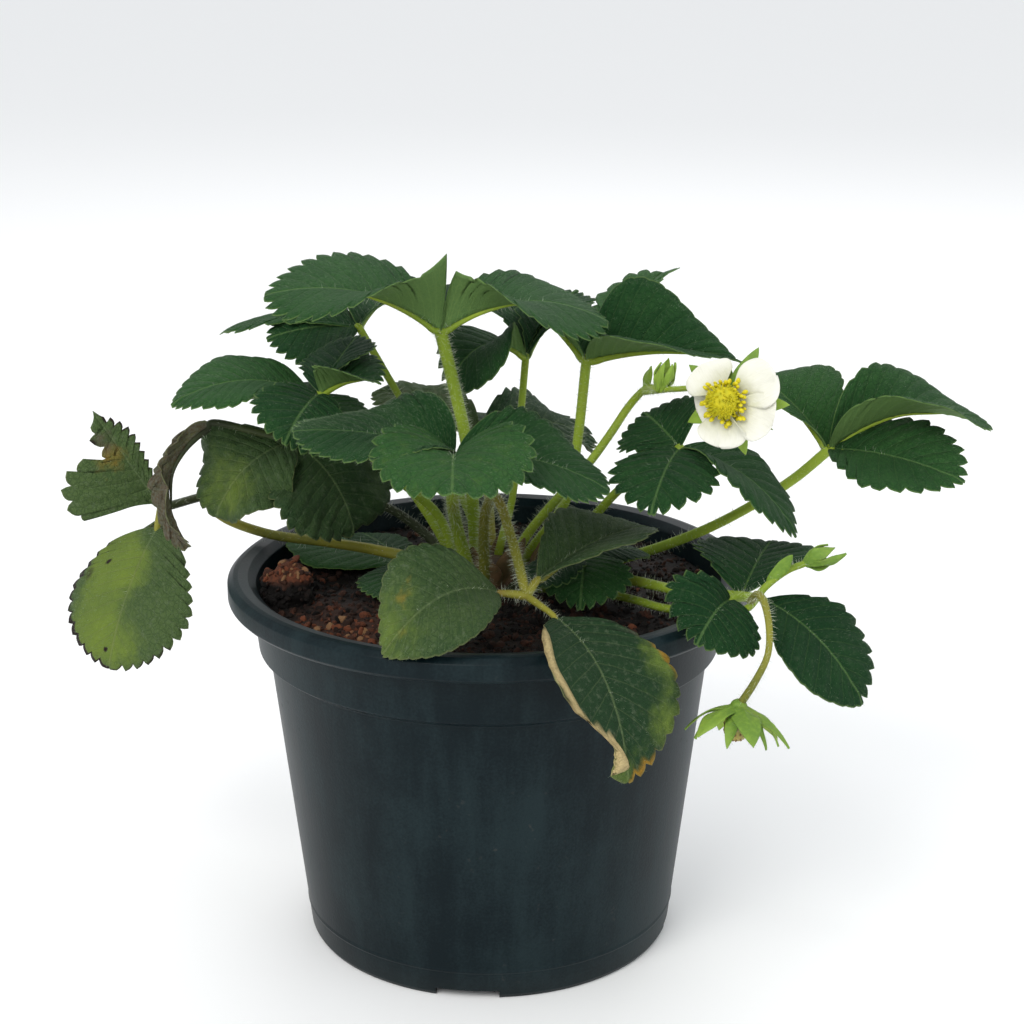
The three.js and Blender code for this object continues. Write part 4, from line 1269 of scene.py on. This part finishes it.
def buildPot():
    core = pot["core"]
    thing = addLine("dressed_pot", np.array([(r - core, -z, 0) for r, z in potProfile()]))
    values = {
        "Segments": pot["segments"],
        "Core": core * mm,
        "Round": pot["round"] * mm,
        "Notches": pot["notches"],
        "Notch Width": pot["notchWidth"] * mm,
        "Notch Depth": pot["notchDepth"] * mm,
        "Notch Turn": math.radians(pot["notchTurn"]),
        "Foot Radius": pot["footRadius"] * mm,
        "Drains": pot["drains"],
        "Drain Radius": pot["drainRadius"] * mm,
        "Drain Ring": pot["drainRing"] * mm,
        "Skin": plasticMaterial(),
    }
    runTree(thing, potTree(), values)
    thing.data.shade_smooth()
    thing.data.set_sharp_from_angle(angle=math.radians(pot["creaseAngle"]))
    settle(thing, "pot")


buildPot()
print("pot ready")

soil = {
    "top": 101.5,
    "gap": 0.35,
    "rings": 56,
    "segments": 160,
    "clod": {"place": (-57, -9, 106), "size": (7, 6.4, 7.4)},
    "crumbs": {"density": 0.05, "size": 1.4},
    "grit": {"density": 0.31, "size": 0.82},
    "dark": (0.0045, 0.0032, 0.0028),
    "brown": (0.036, 0.0145, 0.0090),
    "rust": (0.140, 0.042, 0.019),
    "straw": (0.20, 0.105, 0.05),
}


def soilMaterial():
    material, nodes = newMaterial("potSoil")
    place = nodes.objectPlace()
    tone = nodes.stored("tone")
    patch = nodes.noise(place, 60.0, 4, 0.6)
    grain = nodes.noise(place, 900.0, 4, 0.65)
    mixed = tone + (grain - 0.5) * 0.6 + (patch - 0.5) * 0.9
    colour = nodes.mix(nodes.smooth(0.15, 0.75, mixed), soil["dark"], soil["brown"])
    colour = nodes.mix(nodes.smooth(0.72, 1.15, mixed), colour, soil["rust"])
    colour = nodes.mix(nodes.smooth(1.22, 1.3, tone), colour, soil["straw"])
    bump = nodes.bump(0.8, 0.0006, grain)
    finishMaterial(nodes, {"Specular IOR Level": 0.25}, colour, 0.85 + (grain - 0.5) * 0.2, bump)
    return material


def crumbTree():
    inputs = {
        "Density": ("Float", 1.0),
        "Size": ("Float", 1.0),
        "Detail": ("Int", 1),
        "Seed": ("Int", 1),
        "Tone": ("Float", 0.5),
        "Skin": ("Material", None),
    }
    tree, nodes, given = geometryTree("crumbs", inputs)
    density = given.pick("Density") * nodes.field("rich") * 1e6
    spread = {"Mesh": given, "Density": density, "Seed": given.pick("Seed")}
    points = nodes.shape("DistributePointsOnFaces", spread)
    crumb = {"Radius": given.pick("Size") * mm, "Subdivisions": given.pick("Detail")}
    crumb = nodes.shape("MeshIcoSphere", crumb)
    turn = nodes.anyVector((0, 0, 0), (6.3, 6.3, 6.3), 3)
    size = nodes.anyVector((0.3,) * 3, (1.15,) * 3, 4)
    placed = {"Points": points, "Instance": crumb, "Rotation": turn, "Scale": size}
    crumbs = nodes.shape("InstanceOnPoints", placed)
    tone = nodes.anyNumber(-0.4, 0.4, 5) + nodes.field("tone") + given.pick("Tone")
    toned = {"Geometry": crumbs, "Name": "tone", "Value": tone}
    crumbs = nodes.shape("StoreNamedAttribute", toned, {"data_type": "FLOAT", "domain": "INSTANCE"})
    spot = nodes.shape("InputPosition")
    noise = nodes.add("ShaderNodeTexNoise", None, {"Vector": spot, "Scale": 700.0}).pick("Color")
    shift = nodes.vectors("SCALE", nodes.vectors("SUBTRACT", noise, (0.5, 0.5, 0.5)), 0.0012)
    crumbs = nodes.shape("SetPosition", {"Geometry": nodes.real(crumbs), "Offset": shift})
    nodes.give(nodes.joined(given, nodes.painted(crumbs, given.pick("Skin"))))
    return tree


def lumps(x, y):
    broad = 0.9 * np.sin(0.21 * x + 1.3) * np.cos(0.17 * y) + 0.6 * np.sin(0.43 * x - 0.37 * y)
    rough = 0.35 * np.sin(1.1 * x + 0.6 * y) * np.sin(0.9 * y - 0.5 * x + 2)
    rough = rough + 0.2 * np.sin(2.3 * x) * np.sin(2.1 * y)
    return broad + rough


def addClod(material):  # the lump of earth by the rim, redder on top
    size, place = soil["clod"]["size"], soil["clod"]["place"]

    def lumpy(spots):
        bulge = 1 + 0.10 * np.sin(5 * spots[:, 0] + 1) * np.sin(4 * spots[:, 1])
        bulge = bulge + 0.08 * np.sin(9 * spots[:, 2] + 4 * spots[:, 0])
        return spots * bulge[:, None] * size + place

    clod = addBall("clod", 4, material, lumpy)
    height = np.array([spot.co.z for spot in clod.data.vertices]) / mm - place[2]
    rusty = np.clip((height - 1.5) / 2.5, 0, 1)
    storeValues(clod.data, {"tone": -0.25 + 1.15 * rusty, "rich": np.full(len(height), 1.2)})
    return clod


def buildSoil():
    p = pot
    t = p["wall"] + soil["gap"]
    sides = [
        (0.01, t),
        (p["padRadius"] - 1, t),
        (p["padRadius"] + 1.5, p["footDepth"] + t),
        (p["footRadius"] - 2.4, p["footDepth"] + t),
        (flaredFoot - t, p["footDepth"] + 3.2),
        (p["wallTop"] - t, p["collarFoot"] - 1.5),
        (taperedCollar - t, p["collarFoot"] + 1.2),
        (p["collarRadius"] - 0.35 - t, soil["top"]),
    ]
    inner = np.linspace(sides[-1][0] - 0.6, 0.01, soil["rings"])
    radius = np.concatenate([[r for r, z in sides], inner])
    height = np.concatenate([[z for r, z in sides], soil["top"] + 1.6 - 0.015 * inner])
    turn = np.linspace(0, 2 * np.pi, soil["segments"], endpoint=False)
    x = radius[:, None] * np.cos(turn)
    y = radius[:, None] * np.sin(turn)
    z = height[:, None] + 0 * x
    upper = np.arange(len(radius)) >= len(sides)
    calm = (1 - (radius / 66) ** 2)[:, None]
    z = np.where(upper[:, None], z + lumps(x, y) * np.clip(calm, 0, 1), z)
    material = soilMaterial()
    bed = addRings("dressed_soil", x, y, z, material)
    redder = np.exp(-(((x + 34) / 24) ** 2) - ((y + 38) / 22) ** 2)
    rich = np.where(upper[:, None], 0.7 + 0.5 * redder, 0)
    storeValues(bed.data, {"tone": (0.22 + 0.6 * redder).ravel(), "rich": rich.ravel()})
    crumbs = crumbTree()
    crumbs = crumbTree()
    bed = joinAll("dressed_soil", [bed, addClod(material)])
    for size, detail, seed in ((soil["grit"], 1, 5), (soil["crumbs"], 2, 9)):
        values = {"Density": size["density"], "Size": size["size"], "Detail": detail, "Seed": seed}
        runTree(bed, crumbs, {**values, "Tone": 0.1, "Skin": material})
    settle(bed, "soil")


buildSoil()
print("soil ready")

crown = {"place": (0, 4), "radius": 12.5, "foot": 90, "top": 110, "sheaths": 15, "sheathLength": 15}
bark = plainMaterial("crownBark", (0.085, 0.045, 0.022), (0.030, 0.018, 0.012), 260.0, 0.8, 0.0008)
sheath = plainMaterial("drySheath", (0.20, 0.115, 0.055), (0.10, 0.075, 0.03), 300.0, 0.65, 0.0003)


sheathBlade = {"width": 7, "teeth": 0, "keel": 0, "curl": 55, "fur": 0.5, "belly": 0.8}


def buildCrown():
    c = crown
    foot, top = c["foot"], c["top"]
    height = np.array([foot, foot, foot + 6, foot + 12, top - 3, top, top + 1])
    radius = np.array([0.01, 0.5, 0.85, 1, 0.88, 0.6, 0.01]) * c["radius"]
    share = np.linspace(0, 1, len(height))
    fine = np.linspace(0, 1, 49)
    radius = np.interp(fine, share, radius)
    height = np.interp(fine, share, height)
    turn = np.linspace(0, 2 * np.pi, 72, endpoint=False)
    lumpy = 1 + 0.05 * np.sin(7 * turn) + 0.03 * np.sin(11 * turn + 4 * height[:, None] / 10)
    x = c["place"][0] + radius[:, None] * lumpy * np.cos(turn)
    y = c["place"][1] + radius[:, None] * lumpy * np.sin(turn)
    z = height[:, None] + 0 * x
    body = addRings("crown", x, y, z, bark)
    luck = np.random.default_rng(4)
    blades = []
    for i in range(c["sheaths"]):
        angle = 2.4 * i
        out = np.array([math.cos(angle), math.sin(angle), 0])
        base = np.array([*c["place"], c["top"] - 8]) + out * c["radius"] * luck.uniform(0.55, 0.9)
        tall = c["sheathLength"] * luck.uniform(0.7, 1.15)
        tip = base + out * luck.uniform(-2, 4) + np.array([0, 0, tall])
        blades.append((base, {**sheathBlade, "tip": tip, "up": -out}))
    sheaths = addBlades("sheaths", blades, 0, 900, sheath)
    sheaths = addHair(sheaths, seed=90, **bladeHair)
    settle(joinAll("dressed_crown", [body, sheaths]), "crown")


buildCrown()
print("crown ready")

flower = {
    "centre": (62.5, -38, 168),
    "axis": (-0.45, -0.87, 0.2),
    "petals": [
        {"turn": 33, "reach": 15.2, "width": 13.8, "rise": 0.8, "roll": 8},
        {"turn": 134, "reach": 12.6, "width": 14.0, "rise": -1.2, "roll": 26},
        {"turn": 206, "reach": 9.8, "width": 12.6, "rise": -2.8, "roll": 0},
        {"turn": 270, "reach": 12.0, "width": 14.0, "rise": 2.6, "roll": 4},
        {"turn": 342, "reach": 14.4, "width": 13.6, "rise": 1.4, "roll": -8},
    ],
    "stem": [[4, -1, 104], [10, 1, 117], [18, 0, 128], [29, 0, 141], [35, 2, 149], [40, 3, 156.5],
             [44, -2, 162.5], [47, -14, 165.5]],
    "branch": [[44, -3, 162], [51, -20, 167], [57.5, -31, 169.5]],  # and on to the calyx
    "calyx": {"count": 10, "reach": 15.5, "rise": -3.6, "cup": -0.4, "width": 0.36},
    "bract": {"from": (43.5, 0, 161), "tip": (45, -10, 171), "width": 3.4, "up": (1, 0, 0.4)},
    "bud": {"base": (47, -14, 165), "axis": (0.3, 0, 1), "middle": (47.8, -14, 167.6),
            "size": (1.6, 1.6, 2.6)},
    "budCalyx": {"count": 5, "reach": 2.0, "rise": 8.6, "cup": -1.2, "width": 0.38},
    "white": (0.78, 0.77, 0.70),
    "shade": (0.52, 0.52, 0.36),
    "pollen": (0.58, 0.50, 0.006),
    "anther": (0.66, 0.56, 0.008),
}
sepalSkin = {"pale": (0.260, 0.390, 0.048), "deep": (0.120, 0.220, 0.030)}


def petalMaterial():
    material, nodes = newMaterial("petalWhite")
    place = nodes.add("ShaderNodeUVMap", {"uv_map": "flat"})
    along = nodes.parts(place)
    fromClaw = (along * 0.1).maths("FRACT") * 10
    stretched = nodes.add("ShaderNodeMapping", None, {"Vector": place, "Scale": (1.0, 9.0, 1.0)})
    streak = nodes.noise(stretched, 3.0, 3)
    cloud = nodes.noise(place, 2.5, 3)
    # Each petal darkens towards its claw: painted shade by the heart.
    share = nodes.smooth(0.15, 0.95, fromClaw + (cloud - 0.5) * 0.5)
    colour = nodes.mix(share * 0.85 + (streak - 0.5) * 0.35, flower["shade"], flower["white"])
    bump = nodes.bump(0.5, 0.0004, streak + cloud)
    finishMaterial(nodes, {"Specular IOR Level": 0.2}, colour, 0.6 + (cloud - 0.5) * 0.2, bump)
    return material


petalWhite = petalMaterial()
pollenYellow = plainMaterial("pollenYellow", flower["pollen"], (0.42, 0.40, 0.008), 900.0, 0.7)
antherYellow = plainMaterial("antherYellow", flower["anther"], (0.60, 0.52, 0.008), 700.0, 0.65)
sepalGreen = stalkMaterial("sepalGreen", sepalSkin["pale"], sepalSkin["deep"], (0.30, 0.30, 0.09), 0.4)
fruitSkin = plainMaterial("fruitSkin", (0.36, 0.27, 0.05), (0.20, 0.20, 0.04), 240.0, 0.45)
seedBrown = plainMaterial("seedBrown", (0.12, 0.055, 0.02), (0.20, 0.10, 0.03), 500.0, 0.5)


def axes(axis):  # right, up and outward directions of a flower or calyx
    main = unit(np.array(axis, float))
    across = unit(np.cross([0, 0, 1], main))
    return across, np.cross(main, across), main


sepalBlade = {"teeth": 0, "belly": 0.8, "blunt": 0.8, "keel": 0.35, "curl": 14, "crumple": 0.2, "fur": 1.4}


def addSepals(name, centre, axis, seed, count, reach, rise, cup, width):
    across, upward, main = axes(axis)
    luck = np.random.default_rng(seed)
    blades = []
    for i in range(count):
        narrow = i % 2 and count > 5
        angle = 2 * np.pi * i / count + luck.uniform(-0.12, 0.12)
        out = across * math.cos(angle) + upward * math.sin(angle)
        size = reach * (0.8 if narrow else 1) * luck.uniform(0.88, 1.06)
        base = np.array(centre) + out * 0.6 - main * (0.4 if narrow else 0)
        tip = np.array(centre) + out * size + main * rise * luck.uniform(0.8, 1.2)
        facing = main if rise < reach else -out
        wide = max(size, rise) * (width * 0.7 if narrow else width)
        arch = -cup if rise < reach else cup
        blades.append((base, {**sepalBlade, "tip": tip, "width": wide, "up": facing, "arch": arch}))
    return addBlades(name, blades, 0, seed, sepalGreen)


def addBud(name, centre, size, material):
    return addBall(name, 3, material, lambda spots: spots * size + np.array(centre))


def finishStalk(node, stems, calyxes, buds, seed):
    calyx = addHair(joinAll("calyx", calyxes), seed=seed, **{**bladeHair, "density": 0.5, "length": 0.9})
    stem = addHair(joinAll("stem", stems), seed=seed + 1, **stalkHair)
    settle(joinAll("dressed_" + node, [stem, calyx] + buds), node)


def addBract(bract, seed):
    blade = {"teeth": 0, "keel": 0.3, "curl": 30, **bract}
    return addBlades("bract", [(bract["from"], blade)], 0, seed, sepalGreen)


def buildFlowerStalk():
    back = np.array(flower["centre"]) - axes(flower["axis"])[2] * 4
    bud = flower["bud"]
    stems = [
        addStalk("flowerStem", flower["stem"], [1.5, 1.3, 1.2, 1.0], greenStalk, 1.3),
        addStalk("flowerBranch", [*flower["branch"], back], [0.9, 0.8, 1.0], greenStalk, 1.3),
    ]
    leaflet = addBract(flower["bract"], 320)
    calyxes = [
        addSepals("flowerCalyx", back, flower["axis"], 300, **flower["calyx"]),
        addSepals("budCalyx", bud["base"], bud["axis"], 310, **flower["budCalyx"]),
        leaflet,
    ]
    buds = [
        addBud("bud", bud["middle"], bud["size"], sepalGreen),
        addBud("cup", back, (2.4, 2.4, 2.4), sepalGreen),
    ]
    finishStalk("flower_stalk", stems, calyxes, buds, 60)


petalBlade = {
    "teeth": 0,
    "arch": -0.9,
    "belly": 1.5,
    "blunt": 0.52,
    "keel": 0,
    "curl": 16,
    "lift": [20, 6, -8],
    "wave": 0.9,
    "crumple": 0.55,
}


def buildPetals():
    across, upward, main = axes(flower["axis"])
    centre = np.array(flower["centre"]) - main * 1.4
    blades = []
    for number, petal in enumerate(flower["petals"]):
        angle = math.radians(petal["turn"])
        out = across * math.cos(angle) + upward * math.sin(angle)
        base = centre + out * 1.6 + main * (0.2 + 0.25 * (number % 2))
        tip = centre + out * petal["reach"] + main * petal["rise"]
        shape = {"tip": tip, "up": main, "width": petal["width"], "roll": petal["roll"]}
        blades.append((base, {**petalBlade, **shape}))
    settle(addBlades("dressed_flower_petals", blades, 0, 400, petalWhite), "flower_petals")


heart = {
    "stamens": 52,
    "pistils": 170,
    "dome": 4.0,
    "flatness": 0.85,
    "rise": 2.6,
    "ring": 3.7,  # the circle that the stamens stand on
    "pistil": {"foot": 0.24, "tip": 0.16, "length": 0.9},
    "thread": {"foot": 0.2, "tip": 0.14, "length": 2.2},
    "anther": 0.7,
    "antherHeight": 2.4,
}


def stamenTree():
    inputs = {
        "Count": ("Int", 24),
        "Pistils": ("Int", 120),
        "Dome": ("Float", 3.0),
        "Thread": ("Material", None),
        "Anther": ("Material", None),
        "Heart": ("Material", None),
    }
    tree, nodes, given = geometryTree("heart", inputs)

    def cone(part):
        radii = {"Radius Top": part["tip"] * mm, "Radius Bottom": part["foot"] * mm}
        return nodes.shape("MeshCone", {"Vertices": 5, **radii, "Depth": part["length"] * mm})

    dome = {"Segments": 24, "Rings": 14, "Radius": given.pick("Dome") * mm}
    dome = nodes.shape("MeshUVSphere", dome)
    dome = nodes.shape("Transform", {"Geometry": dome, "Scale": (1, 1, heart["flatness"])})
    dome = nodes.shape("Transform", {"Geometry": dome, "Translation": (0, 0, heart["rise"] * mm)})
    dome = nodes.shape("SetShadeSmooth", {"Geometry": dome})
    points = {"Mesh": dome, "Density": given.pick("Pistils") * 9000, "Seed": 3}
    points = nodes.shape("DistributePointsOnFaces", points)
    upright = nodes.turnTo("Z", points.pick("Normal"))
    pistils = {"Points": points, "Instance": cone(heart["pistil"]), "Rotation": upright}
    pistils = nodes.shape("InstanceOnPoints", pistils)
    core = nodes.painted(nodes.joined(dome, pistils), given.pick("Heart"))
    ring = nodes.shape("MeshCircle", {"Vertices": given.pick("Count"), "Radius": heart["ring"] * mm})
    jitter = nodes.anyVector((-0.0006, -0.0006, -0.0004), (0.0006, 0.0006, 0.0006), 8)
    ring = nodes.shape("SetPosition", {"Geometry": ring, "Offset": jitter})
    outward = nodes.vectors("SCALE", nodes.shape("InputPosition"), 260.0)
    lift = nodes.anyVector((-0.35, -0.35, 0.1), (0.35, 0.35, 1.8), 9)
    outward = nodes.turnTo("Z", nodes.vectors("ADD", outward, lift))
    thread = nodes.painted(cone(heart["thread"]), given.pick("Thread"))
    anther = {"Segments": 8, "Rings": 6, "Radius": heart["anther"] * mm}
    anther = nodes.shape("MeshUVSphere", anther)
    place = {"Translation": (0, 0, heart["antherHeight"] * mm), "Scale": (0.9, 0.7, 1.2)}
    anther = nodes.shape("Transform", {"Geometry": anther, **place})
    anther = nodes.shape("SetShadeSmooth", {"Geometry": anther})
    stamen = nodes.joined(thread, nodes.painted(anther, given.pick("Anther")))
    size = nodes.anyNumber(0.75, 1.15, 10)
    placed = {"Points": ring, "Instance": stamen, "Rotation": outward, "Scale": size}
    nodes.give(nodes.real(nodes.joined(core, nodes.shape("InstanceOnPoints", placed))))
    return tree


def buildHeart():
    across, upward, main = axes(flower["axis"])
    disc = newObject("dressed_flower_heart", bpy.data.meshes.new("dressed_flower_heart"))
    skins = {"Thread": pollenYellow, "Anther": antherYellow, "Heart": pollenYellow}
    sizes = {"Count": heart["stamens"], "Pistils": heart["pistils"], "Dome": heart["dome"]}
    runTree(disc, stamenTree(), {**sizes, **skins})
    base = (np.array(flower["centre"]) - main * 0.6) * mm
    moveSpots(disc.data, lambda p: base + p[:, :1] * across + p[:, 1:2] * upward + p[:, 2:] * main)
    settle(disc, "flower_heart")


fruit = {
    "centre": (65, -67, 93.5),
    "axis": (-0.1, -0.25, -1),
    "size": (3.4, 3.4, 3.9),
    "stem": [[9.5, 0, 102], [21, -5, 104.8], [38, -17, 106], [50, -31, 107.5], [58, -39.5, 111.7],
             [64, -46.5, 111.7], [69, -49.5, 114.5], [73, -49.5, 120], [79, -48.5, 124.5], [84, -47, 126]],
    "pedicel": [[69.5, -49, 116], [70.5, -56, 120.5], [71.5, -62, 120], [72.3, -66, 115], [72, -67.5, 108],
                [69, -68, 101]],  # and on to the fruit
    "calyx": {"count": 12, "reach": 14.0, "rise": 8.5, "cup": 1.8, "width": 0.52},
    "bract": {"from": (73.5, -49.5, 120.5), "tip": (80, -50.5, 129.5), "width": 3.6, "up": (0, -1, 0.4)},
    "bud": {"base": (84, -47, 126), "axis": (0.9, 0, 0.4), "middle": (86.8, -47, 127.3),
            "size": (2.8, 1.8, 1.8)},
    "budCalyx": {"count": 5, "reach": 2.3, "rise": 9.2, "cup": -1.3, "width": 0.40},
}


def buildFruitStalk():
    centre, bud = fruit["centre"], fruit["bud"]
    stems = [
        addStalk("fruitStem", fruit["stem"], [1.4, 1.2, 1.1, 0.9], greenStalk, 0.8),
        addStalk("pedicel", [*fruit["pedicel"], centre], [1.1, 1.0, 0.9, 1.1], oldStalk, 1.2),
    ]
    calyxes = [
        addSepals("fruitCalyx", centre, fruit["axis"], 500, **fruit["calyx"]),
        addSepals("secondCalyx", bud["base"], bud["axis"], 510, **fruit["budCalyx"]),
        addBract(fruit["bract"], 520),
    ]
    buds = [
        addBud("bud", bud["middle"], bud["size"], sepalGreen),
        addBud("cup", centre, (2.3, 2.3, 2.0), sepalGreen),
    ]
    finishStalk("fruit_stalk", stems, calyxes, buds, 62)


def seedTree():
    inputs = {"Density": ("Float", 0.5), "Skin": ("Material", None)}
    tree, nodes, given = geometryTree("seeds", inputs)
    spread = {"Mesh": given, "Distance Min": 0.0008, "Density Max": given.pick("Density") * 1e6, "Seed": 2}
    points = nodes.shape("DistributePointsOnFaces", spread, {"distribute_method": "POISSON"})
    seed = nodes.shape("MeshIcoSphere", {"Radius": 0.00042, "Subdivisions": 2})
    seed = nodes.shape("Transform", {"Geometry": seed, "Scale": (0.6, 1.0, 0.5)})
    placed = {"Points": points, "Instance": seed, "Rotation": points.pick("Rotation")}
    seeds = nodes.shape("InstanceOnPoints", placed)
    seeds = nodes.shape("SetShadeSmooth", {"Geometry": nodes.real(seeds)})
    nodes.give(nodes.joined(given, nodes.painted(seeds, given.pick("Skin"))))
    return tree


def buildFruit():
    middle = np.array(fruit["centre"]) + axes(fruit["axis"])[2] * 5.4
    body = addBud("dressed_young_fruit", middle, fruit["size"], fruitSkin)
    runTree(body, seedTree(), {"Density": 0.9, "Skin": seedBrown})
    settle(body, "young_fruit")


buildFlowerStalk()
buildPetals()
buildHeart()
buildFruitStalk()
buildFruit()
print("flower and fruit ready")

bpy.context.view_layer.update()
triangles = sum(len(piece.data.loops) - 2 * len(piece.data.polygons) for piece in finished)
print("triangles in all", triangles)
